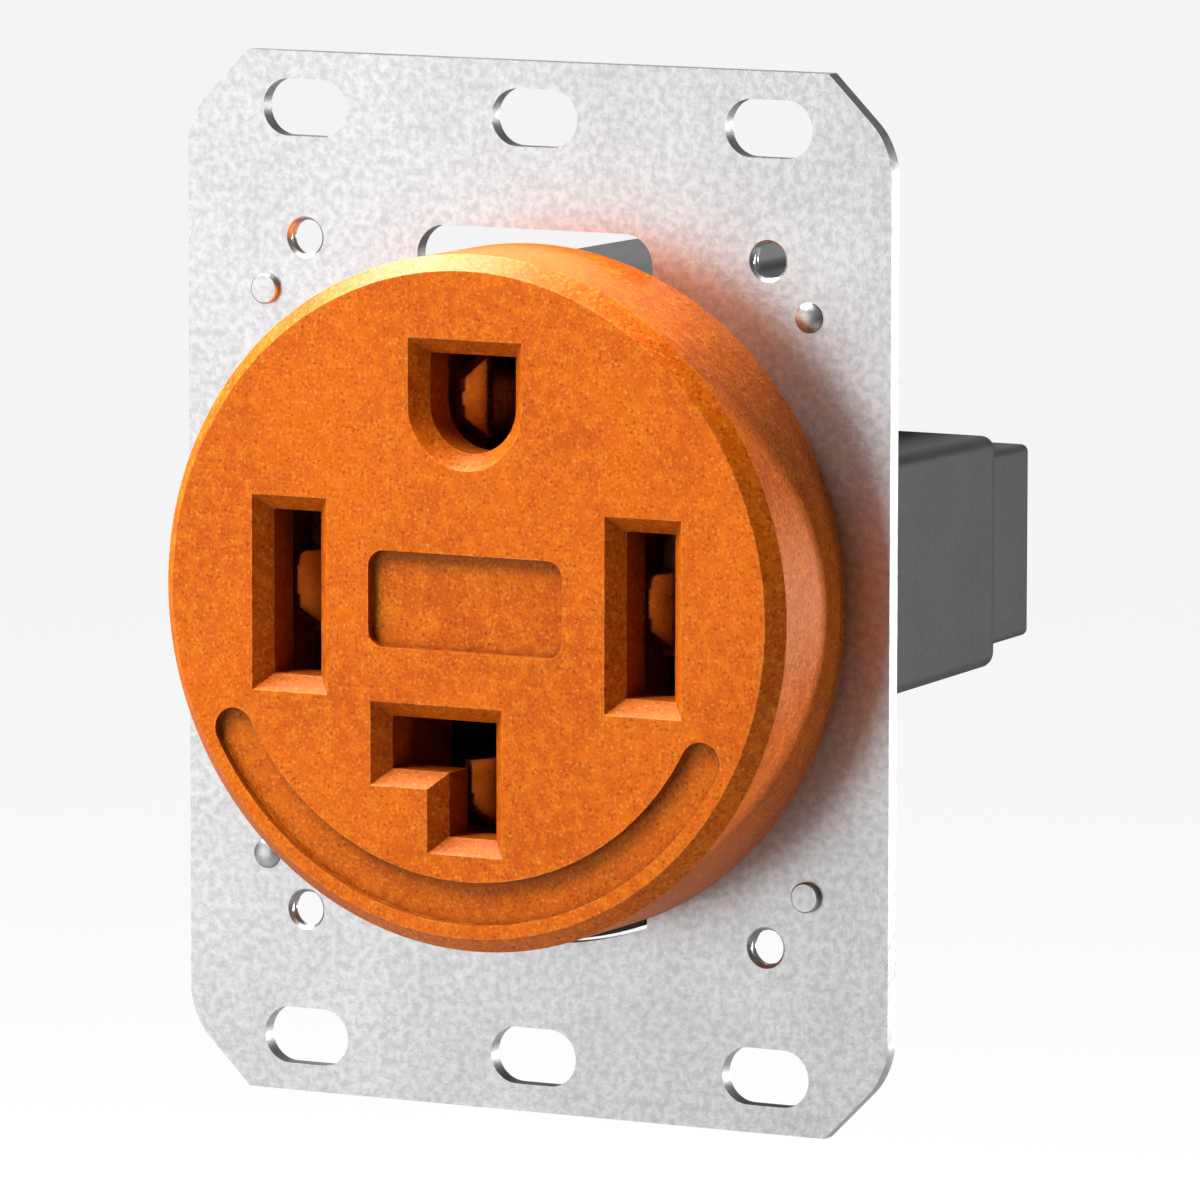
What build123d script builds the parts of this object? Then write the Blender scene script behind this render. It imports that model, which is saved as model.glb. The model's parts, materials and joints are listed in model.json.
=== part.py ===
"""Flush receptacle for four-wire straight blade plugs.

Frame, in millimetres: +Z is up, +X is to the right as the user faces it, and the plug face looks
to -Y. The origin is the centre of the mounting strap's rear face, on the axis of the round face.
"""
import os
from dataclasses import dataclass
from math import cos, radians, sin, tan

from build123d import *

# Mounting strap, a stamped steel sheet
STRAP_SIDE = 11.905
STRAP_END = 4.98
STRAP_T = 1.5
STRAP_CORNER = 6.1
STRAP_CORNER_R = 2.5
STAMPED_EDGE = 0.3
BOX_SLOT_COLUMN = 23.02
BOX_SLOT_ROW = 41.67
BOX_SLOT_LENGTH = 8.5
BOX_SLOT_WIDTH = 5.1
PLATE_HOLE_ROW = 30.165
PLATE_HOLE_R = 1.72
PIP_PAST_FACE = 6.42
PIP_ANGLE = 43.25
PIP_R = 1.35
PIP_RISE = 0.55
WINDOW_HALF_W = 11.7
WINDOW_PAST_FACE = 1.25
WINDOW_R = 2.75
NOTCH_HALF_W = 11.3
NOTCH_PAST_FACE = 0.75

# Front body, a round thermoset moulding
FACE_R = 30.65
FACE_RISE = 12.85
FACE_BEVEL_IN = 1.35
FACE_BEVEL_DEEP = 1.55
FACE_WALL = 4.9
SPIGOT_SHOULDER = 4.85
SPIGOT_CLEARANCE = 0.2

# Plug slots in the face: inner opening, and the sloping mouth round it
HOT_X = 17.5
HOT_SLOT_W = 4.75
HOT_SLOT_H = 14.6
NEUTRAL_SLOT_W = 4.7
NEUTRAL_TOP = -10.3
NEUTRAL_LEFT = -8.0
NEUTRAL_BOTTOM = -20.65
GROUND_SLOT_W = 8.5
GROUND_TOP = 21.9
GROUND_BOTTOM = 13.2
MOUTH_IN = 1.38
MOUTH_DEEP = 1.55

# Shallow recesses in the face
TABLET_HALF_W = 9.6
TABLET_BOTTOM = -4.1
TABLET_TOP = 4.45
TABLET_R = 1.5
ARC_INSET = 4.45
ARC_W = 3.8
ARC_END_DEG = 28.0
RECESS_DEEP = 0.85

# Rear body, a cross-shaped moulding behind the strap
FLANGE_LAP = 2.5
FLANGE_T = 5.0
KEY_CLEARANCE = 0.3
ARM_HALF = 11.05
SIDE_REACH = 24.75
UPRIGHT_REACH = 27.6
BODY_DEPTH = 44.25
ARM_DRAFT = 0.65
SIDE_DRAFT = 1.3
UPRIGHT_DRAFT = 0.15
BODY_WALL = 2.75
OUTER_CORNER_R = 1.2
INNER_CORNER_R = 3.0
BODY_EDGE_R = 2.3
SHELF_T = 2.0
SCREW_HOLE_R = 3.6

# Rear cover, set in from the rear body all round
COVER_DEPTH = 8.0
COVER_INSET = 0.95
COVER_ARM_INSET = 1.65
COVER_DRAFT = 0.7
COVER_WALL = 1.9
COVER_BACK = 2.2
COVER_EDGE_R = 0.7
COVER_EDGE = 0.45
WIRE_R = 4.2
WIRE_FUNNEL = 1.3
PEG_R = 0.9
PEG_LENGTH = 3.0
PEG_PAD = 3.0

# Contacts, folded from strip: two bowed leaves on a base, and a tail
STRIP_T = 1.0
LIP_BACK = 1.15
LIP_LENGTH = 2.7
BOW_LENGTH = 3.8
BASE_Y = 7.5
LIP_FLARE = 1.4
BLADE_GAP = 0.95
PIN_GAP = 1.9
LEAF_RELIEF = 0.85
HOT_LEAF_LOW = -4.3
HOT_LEAF_HIGH = 6.6
HOT_TONGUE_LOW = -2.0
HOT_TONGUE_HIGH = 3.0
GROUND_LEAF_HALF = 3.7
GROUND_TONGUE_HALF = 1.8
GROUND_LEAF_Z = 17.5
NEUTRAL_LEAF_HALF = 3.0
NEUTRAL_TONGUE_HIGH = 1.2
NEUTRAL_LEAF_Z = -17.4
BASE_SHARE = 0.5
BASE_NOTCH = 1.7
PINCH_BEND_R = 1.4
FLAT_BEND_R = 2.0
BASE_BEND_R = 1.1
TONGUE_LENGTH = 2.2
TONGUE_TAPER = 1.7
TONGUE_CORNER_R = 0.6
TAIL_SPLIT = 0.4
TAIL_JOG_START = 2.0
TAIL_JOG_LENGTH = 5.0
TAIL_BEND_R = 3.0
SPRING_T = 0.5
SPRING_START = 0.35
SPRING_MARGIN = 0.3
JAW_ROOM = 1.3
SLOT_ROOM = 1.0

# Terminals: a clamp box, a pressure plate and a screw on each contact's tail
HOT_LUG_X = 16.2
UPRIGHT_LUG_Z = 20.0
LUG_FROM_BACK = 10.25
LUG_LENGTH = 11.0
LUG_W = 10.2
LUG_WALL = 1.4
LUG_SCREW_WALL = 2.4
LUG_HALF_ROOM = 4.8
LUG_EDGE = 0.6
TAIL_PAST_LUG = 1.5
PLATE_T = 1.2
PLATE_DIP = 0.5
PLATE_GAP = 4.2
PLATE_MARGIN = 0.6
TERMINAL_SCREW_R = 3.0
TERMINAL_SCREW_LENGTH = 8.6
TERMINAL_SCREW_END = 0.4
DRIVER_SLOT_W = 1.2
DRIVER_SLOT_DEEP = 1.6

# Fasteners
SCREW_R = 1.75
HEAD_R = 3.4
HEAD_T = 2.3
HEAD_EDGE = 0.8
CROSS_SPAN = 3.6
CROSS_W = 0.9
CROSS_DEEP = 1.2
INSERT_R = 2.8
INSERT_LENGTH = 7.0
INSERT_EDGE = 0.5
COVER_SCREW_LENGTH = 14.0
COVER_POST_R = 4.0
HEAD_SUNK = 0.3

# Clearances, and how far a cutter runs past the face it opens
SEAT_CLEARANCE = 0.05
PEG_CLEARANCE = 0.08
SLIP_CLEARANCE = 0.1
SCREW_CLEARANCE = 0.2
TIP_CLEARANCE = 0.4
TAIL_CLEARANCE = 0.25
HEAD_CLEARANCE = 0.3
PAST = 1.0

# Sizes worked out from the ones above
STRAP_WIDTH = 2 * (BOX_SLOT_COLUMN + STRAP_SIDE)
STRAP_HEIGHT = 2 * (BOX_SLOT_ROW + STRAP_END)
STRAP_FRONT_Y = -STRAP_T
PIP_X = (FACE_R + PIP_PAST_FACE) * cos(radians(PIP_ANGLE))
PIP_Z = (FACE_R + PIP_PAST_FACE) * sin(radians(PIP_ANGLE))
WINDOW_TOP = FACE_R + WINDOW_PAST_FACE
NOTCH_R = FACE_R + NOTCH_PAST_FACE
FACE_Y = STRAP_FRONT_Y - FACE_RISE
FACE_WALL_Y = FACE_Y + FACE_WALL
SPIGOT_R = FACE_R - SPIGOT_SHOULDER
SPIGOT_HOLE_R = SPIGOT_R + SPIGOT_CLEARANCE
ARC_R = FACE_R - ARC_INSET
FLANGE_R = SPIGOT_HOLE_R + FLANGE_LAP
BOSS_X = (SPIGOT_R - INSERT_EDGE - INSERT_R) * cos(radians(45))
ASSEMBLY_SCREW_LENGTH = FLANGE_T + INSERT_LENGTH - TIP_CLEARANCE
CHAMBER_HALF = ARM_HALF - BODY_WALL
LIP_Y = FACE_WALL_Y + LIP_BACK
PINCH_Y = LIP_Y + LIP_LENGTH
FLAT_Y = PINCH_Y + BOW_LENGTH
SPRING_STEP = STRIP_T / 2 + SEAT_CLEARANCE + SPRING_T / 2
SHELF_Y = BASE_Y + SPRING_STEP + SPRING_T / 2 + SEAT_CLEARANCE
SHELF_BACK_Y = SHELF_Y + SHELF_T
COVER_Y = BODY_DEPTH + COVER_DEPTH
COVER_SEAT_Y = COVER_Y - HEAD_T - HEAD_SUNK
LUG_Y = BODY_DEPTH - LUG_FROM_BACK
LUG_ROOM_W = LUG_W / 2 - LUG_WALL
LUG_LOW = -(LUG_HALF_ROOM + LUG_SCREW_WALL)
LUG_HIGH = LUG_HALF_ROOM + LUG_WALL
LUG_POCKET = LUG_W / 2 + SLIP_CLEARANCE
TAIL_FACE = LUG_HALF_ROOM - SEAT_CLEARANCE
TAIL_END_Y = LUG_Y + LUG_LENGTH / 2 + TAIL_PAST_LUG
PLATE_TOP = TAIL_FACE - STRIP_T - PLATE_GAP
PEG_Z = (CHAMBER_HALF + UPRIGHT_LUG_Z - LUG_POCKET) / 2


@dataclass(frozen=True)
class Jaw:
    """A contact's jaw for a blade along Z at X = 0: half its pinch, and where its pieces end in Z."""

    gap: float
    low: float
    high: float
    tongue_low: float
    tongue_high: float
    tail_high: float
    flagged: bool = False

    @property
    def flat(self):
        """Middle of a leaf's thickness where it runs straight."""
        return self.gap + LEAF_RELIEF + STRIP_T / 2

    @property
    def lip(self):
        """Middle of a leaf's thickness at its flared front end."""
        return self.gap + LIP_FLARE + STRIP_T / 2

    @property
    def half_room(self):
        """Half width of the pocket that holds the jaw and its spring."""
        return max(self.lip + STRIP_T / 2, self.flat + SPRING_STEP + SPRING_T / 2) + JAW_ROOM

    @property
    def split(self):
        """Height at which the base ends and the tail's side begins."""
        return self.low + (self.tail_high - self.low) * BASE_SHARE

    @property
    def tail_x(self):
        """Middle of the tail's thickness in the lug: on its side wall if flagged, or its top wall."""
        if self.flagged:
            return HOT_LUG_X - HOT_X - LUG_ROOM_W + SLIP_CLEARANCE + STRIP_T / 2
        return STRIP_T / 2 - TAIL_FACE

    @property
    def flag_right(self):
        """Right end of the flag that lies under the lug's top wall."""
        return HOT_LUG_X - HOT_X + LUG_ROOM_W - HEAD_CLEARANCE


HOT_JAW = Jaw(BLADE_GAP, HOT_LEAF_LOW, HOT_LEAF_HIGH, HOT_TONGUE_LOW, HOT_TONGUE_HIGH, TAIL_FACE,
              flagged=True)
GROUND_JAW = Jaw(PIN_GAP, -GROUND_LEAF_HALF, GROUND_LEAF_HALF, -GROUND_TONGUE_HALF, GROUND_TONGUE_HALF,
                 GROUND_LEAF_HALF)
NEUTRAL_JAW = Jaw(BLADE_GAP, -NEUTRAL_LEAF_HALF, NEUTRAL_LEAF_HALF, -NEUTRAL_LEAF_HALF,
                  NEUTRAL_TONGUE_HIGH, NEUTRAL_LEAF_HALF)

RIGHT_SLOT = Pos(HOT_X, 0, 0)
RIGHT_LUG = Pos(HOT_LUG_X, 0, 0)


def at_y(y):
    """The X-Z drawing plane at a depth, with its normal to the front."""
    return Plane.XZ.offset(-y)


def slab(sketch, front_y, rear_y):
    """A sketch drawn in X-Z, filled from one depth to another."""
    return extrude(at_y(rear_y) * sketch, amount=rear_y - front_y)


def block(x0, x1, y0, y1, z0, z1):
    """A box given by its six faces."""
    centre = Pos((x0 + x1) / 2, (y0 + y1) / 2, (z0 + z1) / 2)
    return centre * Box(x1 - x0, y1 - y0, z1 - z0)


def rod(x, z, radius, front_y, rear_y):
    """A cylinder along Y."""
    return slab(Pos(x, z) * Circle(radius), front_y, rear_y)


def corners(x, z):
    """The four points at plus and minus x, z."""
    return [(sx * x, sz * z) for sx in (-1, 1) for sz in (-1, 1)]


def window(x0, x1, z0, z1):
    """A sketch of a rectangle given by its sides."""
    return Pos((x0 + x1) / 2, (z0 + z1) / 2) * Rectangle(x1 - x0, z1 - z0)


def strap_outline():
    """Strap with cut corners, each running into the long edge in an arc."""
    half_w = STRAP_WIDTH / 2
    half_h = STRAP_HEIGHT / 2
    points = []
    for sx, sz in ((1, 1), (1, -1), (-1, -1), (-1, 1)):
        pair = [(sx * (half_w - STRAP_CORNER), sz * half_h), (sx * half_w, sz * (half_h - STRAP_CORNER))]
        points += pair if sx * sz > 0 else pair[::-1]
    outline = make_face(Polyline(*points, close=True))
    side_corners = [v for v in outline.vertices() if abs(v.X) > half_w - STRAP_CORNER / 2]
    return fillet(side_corners, STRAP_CORNER_R)


def strap_opening():
    """The spigot hole, the window over it and the key notch under it."""
    top = window(-WINDOW_HALF_W, WINDOW_HALF_W, 0, WINDOW_TOP)
    top = fillet(top.vertices().group_by(Axis.Y)[-1], WINDOW_R)
    notch = Circle(NOTCH_R) & window(-NOTCH_HALF_W, NOTCH_HALF_W, -NOTCH_R, 0)
    return Circle(SPIGOT_HOLE_R) + top + notch


def mounting_strap():
    """Stamped strap: slots for the box, tapped holes for the wall plate, four half-sheared pips."""
    slot = SlotOverall(BOX_SLOT_LENGTH, BOX_SLOT_WIDTH)
    columns = (-BOX_SLOT_COLUMN, 0, BOX_SLOT_COLUMN)
    slots = [Pos(x, z) * slot for x in columns for z in (-BOX_SLOT_ROW, BOX_SLOT_ROW)]
    blank = slab(strap_outline() - strap_opening(), STRAP_FRONT_Y, 0)
    blank = chamfer(blank.faces().sort_by(Axis.Y)[0].edges(), STAMPED_EDGE)
    blank -= slab(Sketch() + slots, STRAP_FRONT_Y - PAST, PAST)
    for x, z in corners(BOX_SLOT_COLUMN, PLATE_HOLE_ROW):
        blank -= rod(x, z, PLATE_HOLE_R, STRAP_FRONT_Y - PAST, PAST)
    for x, z in corners(PIP_X, PIP_Z):
        blank += rod(x, z, PIP_R, STRAP_FRONT_Y - PIP_RISE, STRAP_FRONT_Y / 2)
        blank -= rod(x, z, PIP_R, -PIP_RISE, PAST)
    return blank


def hot_slot():
    """Sketch of one upright slot's inner opening, centred."""
    return Rectangle(HOT_SLOT_W, HOT_SLOT_H)


def neutral_slot():
    """Sketch of the L slot: an arm to the left at the top of an upright leg."""
    half = NEUTRAL_SLOT_W / 2
    arm = window(NEUTRAL_LEFT, half, NEUTRAL_TOP - NEUTRAL_SLOT_W, NEUTRAL_TOP)
    return arm + window(-half, half, NEUTRAL_BOTTOM, NEUTRAL_TOP)


def ground_slot():
    """Sketch of the U slot: flat top and half-round bottom."""
    half = GROUND_SLOT_W / 2
    centre_z = GROUND_BOTTOM + half
    return window(-half, half, centre_z, GROUND_TOP) + Pos(0, centre_z) * Circle(half)


def plug_slots():
    """Each slot where it stands in the face, with its jaw and the jaw's X."""
    return [
        (Pos(-HOT_X, 0) * hot_slot(), HOT_JAW, -HOT_X),
        (Pos(HOT_X, 0) * hot_slot(), HOT_JAW, HOT_X),
        (neutral_slot(), NEUTRAL_JAW, 0),
        (ground_slot(), GROUND_JAW, 0),
    ]


def jaw_pockets():
    """Sketches of the pockets behind the face: each slot's own box, widened to hold its jaw."""
    pockets = []
    for slot, jaw, x in plug_slots():
        box = slot.bounding_box()
        left = min(box.min.X - SLOT_ROOM, x - jaw.half_room)
        right = max(box.max.X + SLOT_ROOM, x + jaw.half_room)
        pockets.append(window(left, right, box.min.Y - SLOT_ROOM, box.max.Y + SLOT_ROOM))
    return pockets


def arc_recess():
    """Sketch of the recess that follows the lower rim, with round ends."""
    ends = [Vector(side * ARC_R, 0).rotate(Axis.Z, -side * ARC_END_DEG) for side in (-1, 1)]
    far = 2 * ARC_R
    left, right = [(2 * end.X, 2 * end.Y) for end in ends]
    wedge = make_face(Polyline((0, 0), left, (-far, -far), (far, -far), right, close=True))
    band = Circle(ARC_R + ARC_W / 2) - Circle(ARC_R - ARC_W / 2)
    return (band & wedge) + [Pos(end.X, end.Y) * Circle(ARC_W / 2) for end in ends]


def front_body():
    """Round face with bevelled rim, four slots with sloping mouths, two shallow recesses."""
    disc = rod(0, 0, FACE_R, FACE_Y, STRAP_FRONT_Y)
    face = disc.faces().sort_by(Axis.Y)[0]
    disc = chamfer(face.edges(), FACE_BEVEL_IN, FACE_BEVEL_DEEP, reference=face)
    disc += rod(0, 0, SPIGOT_R, STRAP_FRONT_Y, 0)
    for slot, _, _ in plug_slots():
        disc -= slab(slot, FACE_Y - PAST, FACE_WALL_Y + PAST)
        mouth = offset(slot, MOUTH_IN, kind=Kind.INTERSECTION)
        disc -= loft([at_y(FACE_Y) * mouth, at_y(FACE_Y + MOUTH_DEEP) * slot], ruled=True)
    tablet = window(-TABLET_HALF_W, TABLET_HALF_W, TABLET_BOTTOM, TABLET_TOP)
    disc -= slab(fillet(tablet.vertices(), TABLET_R), FACE_Y - PAST, FACE_Y + RECESS_DEEP)
    disc -= slab(arc_recess(), FACE_Y - PAST, FACE_Y + RECESS_DEEP)
    for pocket in jaw_pockets():
        disc -= slab(pocket, FACE_WALL_Y, PAST)
    for x, z in corners(BOSS_X, BOSS_X):
        disc -= slab(Pos(x, z) * RegularPolygon(INSERT_R, 6), -INSERT_LENGTH, PAST)
    return disc


def cross_section(y):
    """Half width of an arm, reach of the side arms and of the upright ones, at a depth."""
    drafts = ((ARM_HALF, ARM_DRAFT), (SIDE_REACH, SIDE_DRAFT), (UPRIGHT_REACH, UPRIGHT_DRAFT))
    return [size - y * tan(radians(draft)) for size, draft in drafts]


def closes_arm(face, along, across):
    """Whether a wall faces along one axis and lies across the other at an arm's middle."""
    return abs(face.normal_at().dot(along)) > 0.5 and abs(face.center().dot(across)) < CHAMBER_HALF


def drafted_cross(sizes, front_y, rear_y, drafts):
    """Cross-shaped bar along Y: half width and reaches at its front, and how its walls lean in."""
    half, side, upright = sizes
    section = Rectangle(2 * side, 2 * half) + Rectangle(2 * half, 2 * upright)
    cross = slab(section, front_y, rear_y)
    x, z = Vector(1, 0, 0), Vector(0, 0, 1)
    for (along, across), angle in zip(((None, None), (x, z), (z, x)), drafts):
        if along:
            walls = [face for face in cross.faces() if closes_arm(face, along, across)]
        else:
            walls = [face for face in cross.faces() if abs(face.normal_at().Y) < 0.5
                     and not closes_arm(face, x, z) and not closes_arm(face, z, x)]
        cross = draft(walls, at_y(front_y), -angle)
    return cross


def depth_runs(shape, nearest, farthest):
    """Edges that run in depth, between two distances out from the axis."""
    runs = [edge for edge in shape.edges() if abs(edge.tangent_at(0.5).Y) > 0.9]
    return [edge for edge in runs if nearest < max(abs(edge.center().X), abs(edge.center().Z)) < farthest]


def rear_cross():
    """Solid of the rear body behind its flange, with drafted walls and rounded edges."""
    cross = drafted_cross((ARM_HALF, SIDE_REACH, UPRIGHT_REACH), 0, BODY_DEPTH,
                          (ARM_DRAFT, SIDE_DRAFT, UPRIGHT_DRAFT))
    inner_end = ARM_HALF + INNER_CORNER_R
    cross = fillet(depth_runs(cross, 0, inner_end), INNER_CORNER_R)
    cross = fillet(depth_runs(cross, inner_end, UPRIGHT_REACH), OUTER_CORNER_R)
    return fillet(cross.faces().sort_by(Axis.Y)[-1].edges(), BODY_EDGE_R)


def tail_slot(jaw):
    """Sketch of the shelf opening, in the jaw's own place, that its tail and flag pass through."""
    left = jaw.tail_x - STRIP_T / 2 - TAIL_CLEARANCE
    right = TAIL_CLEARANCE + STRIP_T / 2 - jaw.flat
    low = jaw.split + TAIL_SPLIT - TAIL_CLEARANCE
    high = jaw.tail_high + TAIL_CLEARANCE
    opening = window(left, right, low, high)
    if jaw.flagged:
        opening += window(left, jaw.flag_right + TAIL_CLEARANCE, high - STRIP_T - 2 * TAIL_CLEARANCE, high)
    return opening


def pole_rooms(jaw, place, lug_place):
    """What a contact set takes out of the rear body: its tail's slot, its lug's pocket and driver hole."""
    lug_pocket = window(-LUG_POCKET, LUG_POCKET, -CHAMBER_HALF, CHAMBER_HALF)
    driver_hole = Cylinder(SCREW_HOLE_R, ARM_HALF - CHAMBER_HALF + 2 * PAST)
    return [
        place * slab(tail_slot(jaw), 0, SHELF_BACK_Y + PAST),
        lug_place * slab(lug_pocket, SHELF_BACK_Y, COVER_Y),
        lug_place * Pos(0, LUG_Y, -(ARM_HALF + CHAMBER_HALF) / 2) * driver_hole,
    ]


def rear_body():
    """Cross-shaped moulding: flange, key, jaw pockets, shelf, terminal pockets open to the rear."""
    body = rear_cross() + rod(0, 0, FLANGE_R, 0, FLANGE_T)
    key_r = NOTCH_R - KEY_CLEARANCE
    key_half = NOTCH_HALF_W - KEY_CLEARANCE
    key = (Circle(key_r) - Circle(SPIGOT_HOLE_R)) & window(-key_half, key_half, -key_r, -SPIGOT_R / 2)
    body += slab(key, STRAP_FRONT_Y + KEY_CLEARANCE, FLANGE_T)
    for pocket in jaw_pockets():
        body -= slab(pocket, -PAST, SHELF_Y)
    for _, jaw, place, lug_place in poles():
        for room in pole_rooms(jaw, place, lug_place):
            body -= room
    for room in pole_rooms(HOT_JAW, RIGHT_SLOT, RIGHT_LUG):
        body -= mirror(room, about=Plane.YZ)
    body -= slab(Rectangle(2 * CHAMBER_HALF, 2 * CHAMBER_HALF), SHELF_BACK_Y + SHELF_T, COVER_Y)
    body += rod(0, 0, COVER_POST_R, SHELF_BACK_Y, BODY_DEPTH)
    body -= rod(0, 0, SCREW_R, COVER_SEAT_Y - COVER_SCREW_LENGTH - PAST, COVER_Y)
    for z in (-PEG_Z, PEG_Z):
        body -= rod(0, z, PEG_R + PEG_CLEARANCE, BODY_DEPTH - PEG_LENGTH - HEAD_CLEARANCE, COVER_Y)
    for x, z in corners(BOSS_X, BOSS_X):
        body -= rod(x, z, SCREW_R + SCREW_CLEARANCE, -PAST, FLANGE_T + PAST)
    return body


def cover_shell():
    """The cover's drafted cross, rounded and hollowed from the front, and the half width inside."""
    half, side, upright = cross_section(BODY_DEPTH)
    half -= COVER_ARM_INSET
    side -= COVER_INSET
    upright -= COVER_INSET
    cap = drafted_cross((half, side, upright), BODY_DEPTH, COVER_Y, [COVER_DRAFT] * 3)
    cap = fillet(depth_runs(cap, 0, upright + PAST), COVER_EDGE_R)
    cap = chamfer(cap.faces().sort_by(Axis.Y)[-1].edges(), COVER_EDGE)
    room = half - COVER_WALL
    hollow = window(COVER_WALL - side, side - COVER_WALL, -room, room)
    hollow += window(-room, room, COVER_WALL - upright, upright - COVER_WALL)
    return cap - slab(hollow, BODY_DEPTH - PAST, COVER_Y - COVER_BACK), room


def rear_cover():
    """Cross-shaped cap over the terminal pockets, with a funnel for each wire and two pegs."""
    cap, room = cover_shell()
    cap += rod(0, 0, COVER_POST_R, BODY_DEPTH, COVER_Y - COVER_BACK)
    cap -= rod(0, 0, SCREW_R + SCREW_CLEARANCE, BODY_DEPTH - PAST, COVER_Y + PAST)
    cap -= rod(0, 0, HEAD_R + HEAD_CLEARANCE, COVER_SEAT_Y, COVER_Y + PAST)
    funnel = Rot(90, 0, 0) * Cone(WIRE_R + WIRE_FUNNEL, WIRE_R, WIRE_FUNNEL)
    for x, z in ((HOT_LUG_X, 0), (-HOT_LUG_X, 0), (0, UPRIGHT_LUG_Z), (0, -UPRIGHT_LUG_Z)):
        cap -= rod(x, z, WIRE_R, BODY_DEPTH, COVER_Y + PAST)
        cap -= Pos(x, COVER_Y - WIRE_FUNNEL / 2, z) * funnel
    reach = room + COVER_WALL / 2
    for z in (-PEG_Z, PEG_Z):
        cap += rod(0, z, PEG_R, BODY_DEPTH - PEG_LENGTH, BODY_DEPTH)
        cap += block(-reach, reach, BODY_DEPTH, BODY_DEPTH + COVER_WALL, z - PEG_PAD / 2, z + PEG_PAD / 2)
    return cap


def strip(points, radii, z_low, z_high, thickness):
    """Folded strip: a bent centre line given in X and Y, with a thickness and a width along Z."""
    line = FilletPolyline(*points, radius=radii)
    section = trace(line, thickness)
    return Pos(0, 0, z_low) * extrude(section, amount=z_high - z_low, dir=(0, 0, 1))


def both_sides(half):
    """A line's points followed by their mirror images across X = 0, in the order of the line."""
    return half + [(-x, y) for x, y in reversed(half)]


def contact(jaw):
    """Female contact: two bowed leaves, a base, a tail on the left, and a flag on a flagged one."""
    mid = STRIP_T / 2
    half = [(jaw.lip, LIP_Y), (jaw.gap + mid, PINCH_Y), (jaw.flat, FLAT_Y), (jaw.flat, BASE_Y)]
    radii = [PINCH_BEND_R, FLAT_BEND_R, BASE_BEND_R]
    piece = strip(both_sides(half), radii + radii[::-1], jaw.low, jaw.high, STRIP_T)
    piece -= block(mid - jaw.flat, jaw.flat + STRIP_T, BASE_Y - BASE_NOTCH, BASE_Y + STRIP_T,
                   jaw.split, jaw.high + PAST)
    jog_y = SHELF_BACK_Y + TAIL_JOG_START
    tail = [(-jaw.flat, BASE_Y - 2 * mid), (-jaw.flat, jog_y), (jaw.tail_x, jog_y + TAIL_JOG_LENGTH),
            (jaw.tail_x, TAIL_END_Y)]
    piece += strip(tail, [TAIL_BEND_R] * 2, jaw.split + TAIL_SPLIT, jaw.tail_high, STRIP_T)
    if jaw.flagged:
        piece += block(jaw.tail_x - mid, jaw.flag_right, LUG_Y - LUG_LENGTH / 2, TAIL_END_Y,
                       TAIL_FACE - STRIP_T, TAIL_FACE)
    return trim_leaves(piece, jaw)


def trim_leaves(piece, jaw):
    """Cut the leaves back beside their front tongue: square over a flagged jaw's, tapered elsewhere."""
    back_y = LIP_Y + TONGUE_LENGTH
    high_taper = 0 if jaw.flagged else TONGUE_TAPER
    for end, tongue, out, taper in ((jaw.low, jaw.tongue_low, -1, TONGUE_TAPER),
                                    (jaw.high, jaw.tongue_high, 1, high_taper)):
        if tongue == end:
            continue
        inside = tongue - out * 2 * TONGUE_CORNER_R
        outside = end + out * PAST
        profile = make_face(Polyline((LIP_Y - PAST, inside), (LIP_Y, inside), (LIP_Y, tongue),
                                     (back_y, tongue + out * taper), (back_y, outside),
                                     (LIP_Y - PAST, outside), close=True))
        bends = [v for v in profile.vertices() if v.X > LIP_Y - PAST / 2 and
                 min(abs(v.Y - inside), abs(v.Y - outside)) > PAST / 10]
        profile = fillet(bends, TONGUE_CORNER_R)
        piece -= extrude(Plane.YZ * profile, amount=2 * jaw.lip, both=True)
    return piece


def jaw_spring(jaw):
    """Steel spring round the outside of a contact's jaw, behind its base."""
    flat = jaw.flat + SPRING_STEP
    start = (flat - LEAF_RELIEF * (1 - SPRING_START), PINCH_Y + BOW_LENGTH * SPRING_START)
    half = [start, (flat, FLAT_Y), (flat, BASE_Y + SPRING_STEP)]
    radii = [FLAT_BEND_R + SPRING_STEP, BASE_BEND_R + SPRING_STEP]
    return strip(both_sides(half), radii + radii[::-1], jaw.low + SPRING_MARGIN, jaw.split - SPRING_MARGIN,
                 SPRING_T)


def terminal_lug():
    """Clamp box round a tail: the screw comes in from below, the tail lies under the top wall."""
    half = LUG_W / 2
    frame = block(-half, half, LUG_Y - LUG_LENGTH / 2, LUG_Y + LUG_LENGTH / 2, LUG_LOW, LUG_HIGH)
    frame = chamfer(frame.edges().filter_by(Axis.Y), LUG_EDGE)
    frame -= block(-LUG_ROOM_W, LUG_ROOM_W, 0, COVER_Y, -LUG_HALF_ROOM, LUG_HALF_ROOM)
    return frame - Pos(0, LUG_Y, LUG_LOW) * Cylinder(TERMINAL_SCREW_R, 2 * LUG_SCREW_WALL + PAST)


def pressure_plate():
    """Shallow V plate that the screw pushes up onto the wire, beside the tail's own side wall."""
    left = STRIP_T + PLATE_MARGIN - LUG_ROOM_W
    right = LUG_ROOM_W - PLATE_MARGIN
    upper = [(left, PLATE_TOP), ((left + right) / 2, PLATE_TOP - PLATE_DIP), (right, PLATE_TOP)]
    lower = [(x, z - PLATE_T) for x, z in reversed(upper)]
    profile = make_face(Polyline(*upper, *lower, close=True))
    half = LUG_LENGTH / 2 - PLATE_MARGIN
    return slab(profile, LUG_Y - half, LUG_Y + half)


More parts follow.
